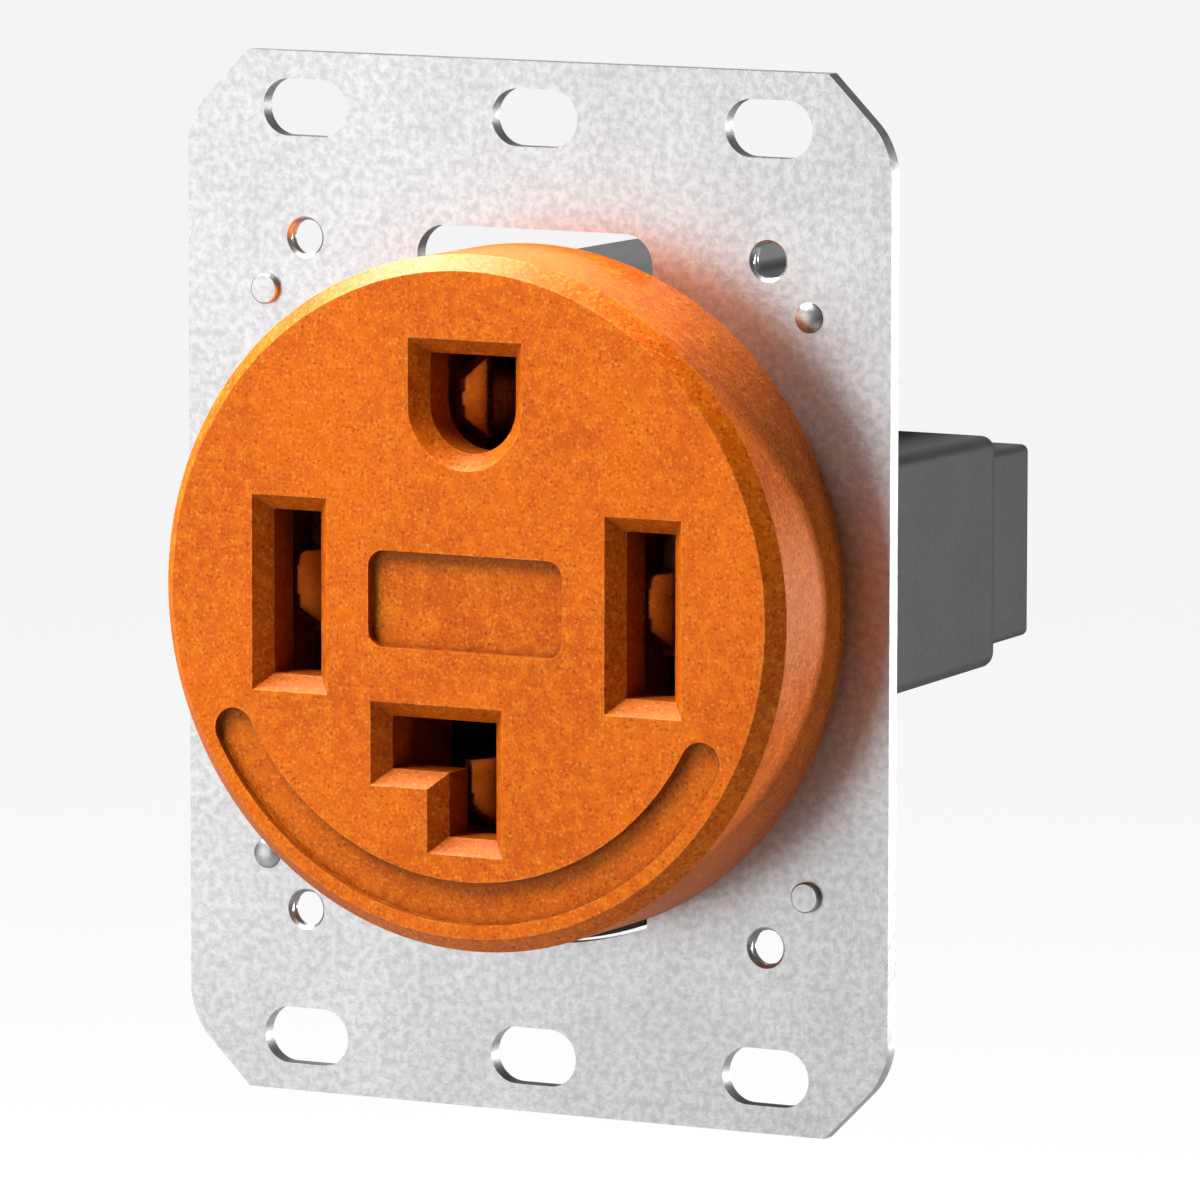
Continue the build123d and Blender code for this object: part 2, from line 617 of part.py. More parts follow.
def terminal_screw():
    """Slotted set screw whose tip meets the pressure plate."""
    to_max = (Align.CENTER, Align.CENTER, Align.MAX)
    shank = Cylinder(TERMINAL_SCREW_R - SEAT_CLEARANCE, TERMINAL_SCREW_LENGTH, align=to_max)
    shank = chamfer(shank.edges().sort_by(Axis.Z)[0], TERMINAL_SCREW_END)
    slot = Box(2 * TERMINAL_SCREW_R + PAST, DRIVER_SLOT_W, 2 * DRIVER_SLOT_DEEP)
    shank -= Pos(0, 0, -TERMINAL_SCREW_LENGTH) * slot
    return Pos(0, LUG_Y, PLATE_TOP - PLATE_DIP - PLATE_T) * shank


def pan_screw(length):
    """Pan-head screw along Y with its seat at Y = 0, its head to the rear and a cross recess in it."""
    head = Cylinder(HEAD_R, HEAD_T, align=(Align.CENTER, Align.CENTER, Align.MIN))
    head = chamfer(head.edges().sort_by(Axis.Z)[-1], HEAD_EDGE)
    for span, width in ((CROSS_SPAN, CROSS_W), (CROSS_W, CROSS_SPAN)):
        head -= Pos(0, 0, HEAD_T) * Box(span, width, 2 * CROSS_DEEP)
    shank = Cylinder(SCREW_R, length, align=(Align.CENTER, Align.CENTER, Align.MAX))
    return Rot(-90, 0, 0) * (head + shank)


def assembly_screws():
    """Four screws from the rear flange into the front body's inserts."""
    screw = pan_screw(ASSEMBLY_SCREW_LENGTH)
    return Compound([Pos(x, FLANGE_T, z) * screw for x, z in corners(BOSS_X, BOSS_X)])


def threaded_inserts():
    """Four hexagonal inserts moulded into the front body."""
    sleeve = slab(RegularPolygon(INSERT_R, 6), -INSERT_LENGTH, 0)
    sleeve -= rod(0, 0, SCREW_R, -INSERT_LENGTH - PAST, PAST)
    return Compound([Pos(x, 0, z) * sleeve for x, z in corners(BOSS_X, BOSS_X)])


def cover_screw():
    """Screw through the rear cover's centre."""
    return Pos(0, COVER_SEAT_Y, 0) * pan_screw(COVER_SCREW_LENGTH)


def poles():
    """Contact sets made in their own place: name, jaw, the jaw's place, and the terminal's place."""
    ground_lug = Pos(0, 0, UPRIGHT_LUG_Z) * Rot(0, -90, 0)
    neutral_lug = Pos(0, 0, -UPRIGHT_LUG_Z) * Rot(0, 90, 0)
    return [
        ("line_x", HOT_JAW, RIGHT_SLOT, RIGHT_LUG),
        ("ground", GROUND_JAW, Pos(0, 0, GROUND_LEAF_Z), ground_lug),
        ("neutral", NEUTRAL_JAW, Pos(0, 0, NEUTRAL_LEAF_Z) * Rot(0, 180, 0), neutral_lug),
    ]


def contact_set(jaw, place, lug_place):
    """A contact, its spring, and the lug, plate and screw on its tail, each where it sits."""
    return {
        "contact": place * contact(jaw),
        "jaw_spring": place * jaw_spring(jaw),
        "lug": lug_place * terminal_lug(),
        "pressure_plate": lug_place * pressure_plate(),
        "terminal_screw": lug_place * terminal_screw(),
    }


def build():
    """All nodes by name; line Y's set is the mirror image of line X's."""
    nodes = {
        "front_body": front_body(),
        "mounting_strap": mounting_strap(),
        "rear_body": rear_body(),
        "rear_cover": rear_cover(),
        "assembly_screws": assembly_screws(),
        "threaded_inserts": threaded_inserts(),
        "cover_screw": cover_screw(),
    }
    for name, jaw, place, lug_place in poles():
        for piece, shape in contact_set(jaw, place, lug_place).items():
            nodes[f"{name}_{piece}"] = shape
            if name == "line_x":
                nodes[f"line_y_{piece}"] = mirror(shape, about=Plane.YZ)
    return nodes


os.makedirs("parts", exist_ok=True)
for node, shape in build().items():
    export_step(shape, f"parts/{node}.step")
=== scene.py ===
"""Looks of a flush receptacle for four-wire straight blade plugs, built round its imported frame.

Lengths in the classes are millimetres, in the part's own frame: +Z up, +X to the user's right, and the
plug face looks to -Y. A finished piece is scaled to metres and stays at the origin.
"""

import json
import logging
from collections.abc import Callable, Iterable, Sequence
from dataclasses import dataclass
from enum import Enum
from math import atan2, cos, hypot, pi, radians, sin
from typing import Any

import bmesh
import bpy
from mathutils import Matrix, Vector


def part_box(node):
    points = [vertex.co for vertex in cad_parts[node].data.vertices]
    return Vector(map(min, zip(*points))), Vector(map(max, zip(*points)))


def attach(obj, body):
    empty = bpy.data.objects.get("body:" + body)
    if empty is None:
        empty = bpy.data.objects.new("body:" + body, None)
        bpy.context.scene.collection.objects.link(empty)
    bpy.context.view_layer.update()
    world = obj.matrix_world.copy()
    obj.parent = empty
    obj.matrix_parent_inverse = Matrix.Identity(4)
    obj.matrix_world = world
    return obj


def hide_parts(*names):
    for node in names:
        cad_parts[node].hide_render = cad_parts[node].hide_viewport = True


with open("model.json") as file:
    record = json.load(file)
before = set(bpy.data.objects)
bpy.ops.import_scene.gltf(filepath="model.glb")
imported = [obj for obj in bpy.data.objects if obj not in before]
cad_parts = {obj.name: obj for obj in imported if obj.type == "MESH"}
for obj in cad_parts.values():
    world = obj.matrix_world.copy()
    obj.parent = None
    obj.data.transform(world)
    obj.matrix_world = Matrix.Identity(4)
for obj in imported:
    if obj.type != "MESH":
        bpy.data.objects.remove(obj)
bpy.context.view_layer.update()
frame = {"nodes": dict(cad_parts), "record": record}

LOG = logging.getLogger("receptacle")
MM = 0.001
BODY = "root"
X, Y, Z = range(3)
FOUR_CORNERS = tuple((across, up) for across in (-1, 1) for up in (-1, 1))

# How far a cutter reaches past the face that it opens.
PAST = 1.0
# Points nearer than this are one point.
WELD = 0.0005
# Least flat that is left where two rounds meet.
SLIVER = 0.002
# Least cosine at which a direction counts as running along an axis.
ALIGNED = 0.95
# Edges that turn by more degrees than this stay sharp on a piece whose edges aren't softened.
SHARP_ANGLE = 50.0
# Steps in a full turn of large, middling and small round shapes, and of threads.
LARGE_TURN = 192
ROUND_TURN = 64
SMALL_TURN = 48
THREAD_TURN = 40
# Rings of points in one pitch of a thread, and how steep its flanks are: above 1 the crest has a flat.
PITCH_RINGS = 6
FLANK = 1.5
# The part of a noise that a roughness follows.
ROUGH_SPAN = (0.3, 0.7)

Point = tuple[float, float]
Span = tuple[float, float]
Outline = Sequence[Point]
Colour = tuple[float, ...]
EdgeTest = Callable[[Vector, Vector], bool]
Socket = bpy.types.NodeSocket


class Way(Enum):
    """How one form acts on another."""

    CUT = "DIFFERENCE"
    ADD = "UNION"
    KEEP = "INTERSECT"


class Layer(Enum):
    """The three scales of noise that the grain group gives."""

    CLOUD = "Cloud"
    BLOTCH = "Blotch"
    FINE = "Fine"


def neat(value: float) -> float:
    """A size in millimetres, rounded to a thousandth."""
    return round(value, 3)


def packed_box(node: str) -> tuple[tuple[float, ...], tuple[float, ...]]:
    """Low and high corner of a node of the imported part, in millimetres."""
    low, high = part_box(node)
    return tuple(neat(value / MM) for value in low), tuple(neat(value / MM) for value in high)


def packed_middle(node: str, axis: int) -> float:
    """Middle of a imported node's box along an axis, in millimetres."""
    low, high = packed_box(node)
    return neat((low[axis] + high[axis]) / 2)


def packed_mount(name: str) -> dict[str, Any]:
    """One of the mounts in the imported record."""
    return next(mount for mount in frame["record"]["mounts"] if mount["name"] == name)


BOX_SLOTS = packed_mount("box_slots")["dims"]
PLATE_HOLES = packed_mount("plate_holes")["dims"]
STRAP_FRONT = neat(packed_mount("plate_holes")["pos_m"][Y] / MM)
LINE_SCREW = packed_box("line_x_terminal_screw")


def arc(radius: float, start: float, end: float, steps: int, x: float = 0.0, z: float = 0.0) -> list[Point]:
    """Points on an arc in X and Z, from one angle in degrees to another."""
    angles = [radians(start + (end - start) * i / steps) for i in range(steps + 1)]
    return [(x + radius * cos(a), z + radius * sin(a)) for a in angles]


def quarter(radius: float, y: float, wide: float, high: float, steps: int = 9) -> list[Point]:
    """Points of a quarter ellipse in radius and depth, for a lathe.

    Args:
        radius: Radius at which its centre stands.
        y: Depth of its centre.
        wide: Its half width in radius.
        high: Its half height in depth, negative towards -Y.
        steps: Flats along it.

    Returns:
        Points from its top to its side.
    """
    angles = [pi / 2 * i / steps for i in range(steps + 1)]
    return [(radius + wide * sin(a), y + high * cos(a)) for a in angles]


def hexagon(radius: float, x: float, z: float) -> list[Point]:
    """Outline of a hexagon with two corners along X, by the radius of its corners."""
    return arc(radius, 0, 300, 5, x, z)


def along_y(_: Vector, direction: Vector) -> bool:
    """Edges that run in depth."""
    return abs(direction.y) > ALIGNED


@dataclass(frozen=True)
class Thread:
    """A screw thread: crest and root radius, and pitch."""

    crest: float
    root: float
    pitch: float


class Form:
    """A closed mesh under construction, in millimetres."""

    def __init__(self, mesh: bmesh.types.BMesh | None = None) -> None:
        """Start from a mesh, or from nothing."""
        self.mesh = mesh or bmesh.new()

    @classmethod
    def loft(cls, front: Outline, rear: Outline, front_y: float, rear_y: float) -> "Form":
        """Join an outline at one depth to another with as many points.

        Args:
            front: Points in X and Z at the front.
            rear: Points in X and Z at the rear, in the same order.
            front_y: Depth of the front outline.
            rear_y: Depth of the rear outline.

        Returns:
            A closed form.
        """
        form = cls()
        ends = []
        for outline, y in ((front, front_y), (rear, rear_y)):
            ring = [form.mesh.verts.new((x, y, z)) for x, z in outline]
            ends.append(form.mesh.faces.new(ring))
        edges = [edge for face in ends for edge in face.edges]
        bmesh.ops.bridge_loops(form.mesh, edges=edges)
        return form.outwards()

    @classmethod
    def prism(cls, outline: Outline, front_y: float, rear_y: float) -> "Form":
        """Fill an outline in X and Z from one depth to another."""
        return cls.loft(outline, outline, front_y, rear_y)

    @classmethod
    def box(cls, x: Span, y: Span, z: Span) -> "Form":
        """A box.

        Args:
            x: Its span along X.
            y: Its span along Y.
            z: Its span along Z.

        Returns:
            A closed form.
        """
        form = cls()
        spans = (x, y, z)
        bmesh.ops.create_cube(form.mesh, size=1.0)
        bmesh.ops.scale(form.mesh, vec=[high - low for low, high in spans], verts=form.mesh.verts)
        bmesh.ops.translate(form.mesh, vec=[(low + high) / 2 for low, high in spans], verts=form.mesh.verts)
        return form

    @classmethod
    def rod(cls, x: float, z: float, radius: float, y: Span, segments: int = ROUND_TURN) -> "Form":
        """A cylinder along Y.

        Args:
            x: Place of its axis in X.
            z: Place of its axis in Z.
            radius: Its radius.
            y: Depths of its ends.
            segments: Number of flat sides.

        Returns:
            A closed form.
        """
        form = cls()
        bmesh.ops.create_cone(form.mesh, cap_ends=True, segments=segments, radius1=radius, radius2=radius,
                              depth=y[1] - y[0])
        bmesh.ops.rotate(form.mesh, matrix=Matrix.Rotation(-pi / 2, 3, "X"), verts=form.mesh.verts)
        bmesh.ops.translate(form.mesh, vec=(x, (y[0] + y[1]) / 2, z), verts=form.mesh.verts)
        return form

    @classmethod
    def lathe(cls, profile: Outline, segments: int) -> "Form":
        """Turn a profile of radius and depth about the Y axis.

        Args:
            profile: Points (radius, depth), with the first and last on the axis.
            segments: Number of steps in a full turn.

        Returns:
            A closed form.
        """
        form = cls()
        points = [form.mesh.verts.new((r, y, 0)) for r, y in profile]
        edges = [form.mesh.edges.new(pair) for pair in zip(points, points[1:])]
        bmesh.ops.spin(form.mesh, geom=points + edges, cent=(0, 0, 0), axis=(0, 1, 0), angle=2 * pi,
                       steps=segments, use_merge=True)
        bmesh.ops.remove_doubles(form.mesh, verts=form.mesh.verts, dist=WELD)
        return form.outwards()

    @classmethod
    def threaded(cls, thread: Thread, front_y: float, rear_y: float, lead: float) -> "Form":
        """A threaded rod on the Y axis.

        Args:
            thread: Its thread.
            front_y: Depth of its front end.
            rear_y: Depth of its rear end.
            lead: Length over which the thread fades in at the front end.

        Returns:
            A closed form.
        """
        rings = round((rear_y - front_y) / thread.pitch * PITCH_RINGS)
        step = (rear_y - front_y) / rings
        profile = [(thread.root, front_y + step * ring) for ring in range(rings + 1)]
        form = cls.lathe([(0, front_y), *profile, (0, rear_y)], THREAD_TURN)
        for vert in form.mesh.verts:
            radius = hypot(vert.co.x, vert.co.z)
            if radius > WELD:
                phase = (vert.co.y / thread.pitch + atan2(vert.co.z, vert.co.x) / (2 * pi)) % 1.0
                rise = min(1.0, FLANK * (1 - abs(2 * phase - 1))) * min(1.0, (vert.co.y - front_y) / lead)
                grown = (thread.root + (thread.crest - thread.root) * rise) / radius
                vert.co.x *= grown
                vert.co.z *= grown
        return form.outwards()

    def outwards(self) -> "Form":
        """Weld doubles and point every face outwards.

        Returns:
            This form.
        """
        bmesh.ops.remove_doubles(self.mesh, verts=self.mesh.verts, dist=WELD)
        bmesh.ops.recalc_face_normals(self.mesh, faces=self.mesh.faces)
        return self

    def moved(self, matrix: Matrix) -> "Form":
        """Copy the form and move the copy.

        Args:
            matrix: Where the copy goes. It may mirror it, and the copy is then turned right side out.

        Returns:
            The copy.
        """
        copy = Form(self.mesh.copy())
        bmesh.ops.transform(copy.mesh, matrix=matrix, verts=copy.mesh.verts)
        if matrix.determinant() < 0:
            bmesh.ops.reverse_faces(copy.mesh, faces=copy.mesh.faces)
        return copy

    def placed(self, x: float = 0.0, y: float = 0.0, z: float = 0.0) -> "Form":
        """A copy shifted along the axes."""
        return self.moved(Matrix.Translation((x, y, z)))

    def rounded(self, test: EdgeTest, radius: float, segments: int) -> "Form":
        """Round the edges that pass a test.

        Args:
            test: Takes an edge's middle and its unit direction.
            radius: Size of the round.
            segments: Flats across the round.

        Returns:
            This form.
        """
        chosen = []
        for edge in self.mesh.edges:
            start, end = (vert.co for vert in edge.verts)
            if (end - start).length > WELD and test((start + end) / 2, (end - start).normalized()):
                chosen.append(edge)
        corners = list(dict.fromkeys(vert for edge in chosen for vert in edge.verts))
        bmesh.ops.bevel(self.mesh, geom=chosen + corners, offset=radius, offset_type="OFFSET", affect="EDGES",
                        segments=segments, profile=0.5, material=-1, clamp_overlap=True)
        return self

    def stepped(self, y: float, inset: float, depth: float) -> "Form":
        """Slope the end face at a depth inwards, and carry it on towards +Y.

        Args:
            y: Depth of the end face to work on.
            inset: How far its outline moves in.
            depth: How far it moves back.

        Returns:
            This form.
        """
        ends = [face for face in self.mesh.faces if abs(face.calc_center_median().y - y) < WELD
                and abs(face.normal.y) > ALIGNED]
        bmesh.ops.inset_individual(self.mesh, faces=ends, thickness=inset, depth=depth, use_even_offset=True)
        return self

    def with_all(self, others: Iterable["Form"]) -> "Form":
        """Put other forms in the same mesh, with no boolean.

        Args:
            others: Forms that stand clear of this one.

        Returns:
            This form.
        """
        for other in others:
            scrap = bpy.data.meshes.new("scrap")
            other.mesh.to_mesh(scrap)
            self.mesh.from_mesh(scrap)
            bpy.data.meshes.remove(scrap)
        return self

    def combined(self, way: Way, tools: Iterable["Form"]) -> "Form":
        """Cut, add or intersect with other forms, one boolean for each.

        Args:
            way: What the tools do.
            tools: Closed forms.

        Returns:
            This form.
        """
        for tool in tools:
            objects = []
            for form in (self, tool):
                data = bpy.data.meshes.new("scrap")
                form.mesh.to_mesh(data)
                objects.append(bpy.data.objects.new("scrap", data))
                bpy.context.scene.collection.objects.link(objects[-1])
            change = objects[0].modifiers.new("change", "BOOLEAN")
            change.operation = way.value
            change.solver = "EXACT"
            change.object = objects[1]
            result = bpy.data.meshes.new_from_object(
                objects[0].evaluated_get(bpy.context.evaluated_depsgraph_get()))
            self.mesh.free()
            self.mesh = bmesh.new()
            self.mesh.from_mesh(result)
            for item in objects:
                data = item.data
                bpy.data.objects.remove(item)
                bpy.data.meshes.remove(data)
            bpy.data.meshes.remove(result)
        return self

    def cut(self, *tools: "Form") -> "Form":
        """Take forms away."""
        return self.combined(Way.CUT, tools)

    def add(self, *tools: "Form") -> "Form":
        """Fuse forms on."""
        return self.combined(Way.ADD, tools)

    def to_object(self, name: str) -> bpy.types.Object:
        """End the construction as an object in metres, and free the mesh under construction.

        Args:
            name: The object's name.

        Returns:
            The new object, at the origin.
        """
        bmesh.ops.scale(self.mesh, vec=(MM, MM, MM), verts=self.mesh.verts)
        data = bpy.data.meshes.new(name)
        self.mesh.to_mesh(data)
        self.mesh.free()
        made = bpy.data.objects.new(name, data)
        bpy.context.scene.collection.objects.link(made)
        return made


@dataclass(frozen=True)
class Edge:
    """How a piece's sharp edges are softened: radius in millimetres, flats, and the least angle.

    The bevel's clamp holds the whole piece to what its shortest edges allow, which is a few thousandths
    of a millimetre on the front body and the strap.
    """

    radius: float
    segments: int
    angle: float = 28.0


@dataclass(frozen=True)
class Dress:
    """What a new piece replaces, its record slot, its material and its soft edges, if any."""

    material: bpy.types.Material
    slot: str
    replaces: str
    edge: Edge | None = None


def finish_piece(name: str, form: Form, dress: Dress) -> bpy.types.Object:
    """Make a form a finished piece that rides on the body.

    Args:
        name: The piece's name.
        form: Its closed mesh in millimetres.
        dress: Its finish and what it stands for.

    Returns:
        The new object, at the origin, in metres.
    """
    bmesh.ops.dissolve_degenerate(form.mesh, edges=form.mesh.edges, dist=WELD)
    for face in form.mesh.faces:
        face.smooth = True
    if not dress.edge:
        for edge in form.mesh.edges:
            edge.smooth = not edge.is_manifold or edge.calc_face_angle() < radians(SHARP_ANGLE)
    piece = form.to_object(name)
    piece.data.materials.append(dress.material)
    if dress.edge:
        soft = piece.modifiers.new("soft_edges", "BEVEL")
        soft.width = dress.edge.radius * MM
        soft.segments = dress.edge.segments
        soft.limit_method = "ANGLE"
        soft.angle_limit = radians(dress.edge.angle)
        soft.harden_normals = True
        soft.use_clamp_overlap = True
        soft.miter_outer = "MITER_ARC"
    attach(piece, BODY)
    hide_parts(dress.replaces)
    LOG.info("%s: %d faces", name, len(piece.data.polygons))
    return piece


class Graph:
    """A node tree with short calls that add nodes and join them."""

    def __init__(self, tree: bpy.types.NodeTree) -> None:
        """Work in a tree."""
        self.tree = tree

    def give(self, value: Any, socket: Socket) -> None:
        """Feed an input.

        Args:
            value: A socket to link from, or a plain value.
            socket: The input.
        """
        if isinstance(value, Socket):
            self.tree.links.new(value, socket)
        else:
            socket.default_value = value

    def add(self, kind: str, inputs: dict[str | int, Any] | None = None, **settings: Any) -> bpy.types.Node:
        """Add a node.

        Args:
            kind: The node's type without its Shader prefix.
            inputs: A socket to link from, or a value, for each input's name or number.
            **settings: The node's own properties.

        Returns:
            The node.
        """
        node = self.tree.nodes.new("ShaderNode" + kind)
        for name, value in settings.items():
            setattr(node, name, value)
        for key, value in (inputs or {}).items():
            self.give(value, node.inputs[key])
        return node

    def math(self, operation: str, *values: Any, clamp: bool = False) -> Socket:
        """Result of a sum or product of values or sockets."""
        node = self.add("Math", dict(enumerate(values)), operation=operation, use_clamp=clamp)
        return node.outputs[0]

    def remap(self, value: Socket, span: Span, to: Span = (0.0, 1.0)) -> Socket:
        """Map a value's range to another, and clamp it.

        Args:
            value: The value.
            span: Its range. The first may be the larger.
            to: What the ends of that range become.

        Returns:
            The mapped value.
        """
        node = self.add("MapRange", {"Value": value, "From Min": span[0], "From Max": span[1],
                                     "To Min": to[0], "To Max": to[1]})
        return node.outputs["Result"]

    def mix(self, share: Any, first: Any, second: Any) -> Socket:
        """Blend two colours.

        Args:
            share: How much of the second one shows.
            first: A colour or a socket.
            second: A colour or a socket.

        Returns:
            The blend.
        """
        node = self.add("Mix", {0: share, 6: first, 7: second}, data_type="RGBA")
        return node.outputs[2]

    def grow(self, value: Any, factor: Any) -> Socket:
        """A value times a factor."""
        return self.math("MULTIPLY", value, factor)


def colour(red: int, green: int, blue: int) -> Colour:
    """A linear colour from its screen values.

    Args:
        red: Screen value, 0 to 255.
        green: Screen value, 0 to 255.
        blue: Screen value, 0 to 255.

    Returns:
        Red, green, blue and alpha.
    """
    channels = []
    for value in (red, green, blue):
        share = value / 255
        channels.append(share / 12.92 if share <= 0.04045 else ((share + 0.055) / 1.055) ** 2.4)
    return (*channels, 1.0)


def grey(value: float) -> Colour:
    """A neutral linear colour."""
    return (value, value, value, 1.0)


class Group:
    """A shader node group with number inputs."""

    def __init__(self, name: str, inputs: dict[str, float]) -> None:
        """Start the group.

        Args:
            name: Its name.
            inputs: Each input's name and first value.
        """
        self.tree = bpy.data.node_groups.new(name, "ShaderNodeTree")
        self.graph = Graph(self.tree)
        for label, value in inputs.items():
            socket = self.tree.interface.new_socket(label, in_out="INPUT", socket_type="NodeSocketFloat")
            socket.default_value = value
        self.entry = self.tree.nodes.new("NodeGroupInput").outputs
        self.leave = self.tree.nodes.new("NodeGroupOutput").inputs

    def put_out(self, label: str, value: Socket, kind: str = "NodeSocketFloat") -> None:
        """Add an output that carries a value."""
        self.tree.interface.new_socket(label, in_out="OUTPUT", socket_type=kind)
        self.tree.links.new(value, self.leave[label])

    def placed(self, graph: Graph, inputs: dict[str, float]) -> bpy.types.Node:
        """Put the group in a material.

        Args:
            graph: The material's graph.
            inputs: The material's own value for each input.

        Returns:
            The group's node.
        """
        node = graph.tree.nodes.new("ShaderNodeGroup")
        node.node_tree = self.tree
        for label, value in inputs.items():
            node.inputs[label].default_value = value
        return node


def grain_group() -> Group:
    """Three scales of noise on the object's own coordinates.

    Returns:
        The group.
    """
    detail = {Layer.CLOUD: 2.0, Layer.BLOTCH: 3.0, Layer.FINE: 1.0}
    group = Group("grain", {f"{layer.value} Size": 1000.0 for layer in Layer})
    source = group.graph.add("TexCoord")
    for layer in Layer:
        noise = group.graph.add("TexNoise", {
            "Vector": source.outputs["Object"], "Scale": group.entry[f"{layer.value} Size"],
            "Detail": detail[layer], "Roughness": 0.6})
        group.put_out(layer.value, noise.outputs["Fac"])
    return group


def soft_group() -> Group:
    """A normal rounded at the edges, for meshes whose edges stay sharp.

    Returns:
        The group.
    """
    group = Group("soft_edge", {"Reach": 0.0002})
    soft = group.graph.add("Bevel", {"Radius": group.entry["Reach"]}, samples=2)
    group.put_out("Normal", soft.outputs["Normal"], "NodeSocketVector")
    return group


# Mask for pale edges that are partly worn and partly a painted highlight.
def wear_and_highlight_group(turned: Span = (0.985, 0.86), broken: Span = (0.42, 0.62)) -> Group:
    """A mask of the outer edges, broken up by noise.

    Args:
        turned: Cosine of the edge's turn where the mask starts, and where it is full.
        broken: Level of the noise where the mask starts, and where it is full.

    Returns:
        The group.
    """
    group = Group("edge_wear_and_highlight", {"Reach": 0.0003, "Break Size": 900.0, "Strength": 1.0})
    graph = group.graph
    place = graph.add("TexCoord")
    true_normal = graph.add("NewGeometry").outputs["Normal"]
    soft = graph.add("Bevel", {"Radius": group.entry["Reach"]}, samples=1)
    turn = graph.add("VectorMath", {0: true_normal, 1: soft.outputs["Normal"]}, operation="DOT_PRODUCT")
    noise = graph.add("TexNoise", {"Vector": place.outputs["Object"], "Scale": group.entry["Break Size"],
                                   "Detail": 3.0})
    edge = graph.grow(graph.remap(turn.outputs["Value"], turned), graph.remap(noise.outputs["Fac"], broken))
    group.put_out("Mask", graph.math("MULTIPLY", edge, group.entry["Strength"], clamp=True))
    return group


class Groups:
    """The shared shader groups, each built once."""

    def __init__(self) -> None:
        """Build them."""
        self.grain = grain_group()
        self.soft = soft_group()
        self.wear_and_highlight = wear_and_highlight_group()


@dataclass(frozen=True)
class Relief:
    """A surface's bump: its strength, and its height in metres."""

    strength: float
    height: float


class Surface:
    """A material being made: its graph, its shader and its grain."""

    def __init__(self, name: str, groups: Groups, sizes: tuple[float, float, float]) -> None:
        """Start the material.

        Args:
            name: The material's name.
            groups: The shared groups.
            sizes: How fine the cloudy, blotchy and fine noise is, as a noise scale per metre.
        """
        self.material = bpy.data.materials.new(name)
        self.material.use_nodes = True
        self.groups = groups
        self.graph = Graph(self.material.node_tree)
        self.inputs = self.material.node_tree.nodes["Principled BSDF"].inputs
        self.grain = groups.grain.placed(
            self.graph, {f"{layer.value} Size": size for layer, size in zip(Layer, sizes)}).outputs

    def level(self, layer: Layer, span: Span, to: Span = (0.0, 1.0)) -> Socket:
        """A layer of the grain, mapped from one range to another."""
        return self.graph.remap(self.grain[layer.value], span, to)

    def paint(self, tone: Socket) -> None:
        """Give the shader its colour."""
        self.graph.give(tone, self.inputs["Base Color"])

    def roughen(self, layer: Layer, rough: Span) -> None:
        """Let the roughness follow a layer of the grain."""
        self.graph.give(self.level(layer, ROUGH_SPAN, rough), self.inputs["Roughness"])

    def emboss(self, height: Socket, relief: Relief, edge: float | None = None) -> None:
        """Give the shader its bump.

        Args:
            height: What the bump follows.
            relief: Its strength and height.
            edge: Reach in metres of the edges rounded in shading, or None for none.
        """
        inputs = {"Height": height, "Strength": relief.strength, "Distance": relief.height}
        if edge:
            inputs["Normal"] = self.groups.soft.placed(self.graph, {"Reach": edge}).outputs["Normal"]
        self.graph.give(self.graph.add("Bump", inputs).outputs["Normal"], self.inputs["Normal"])


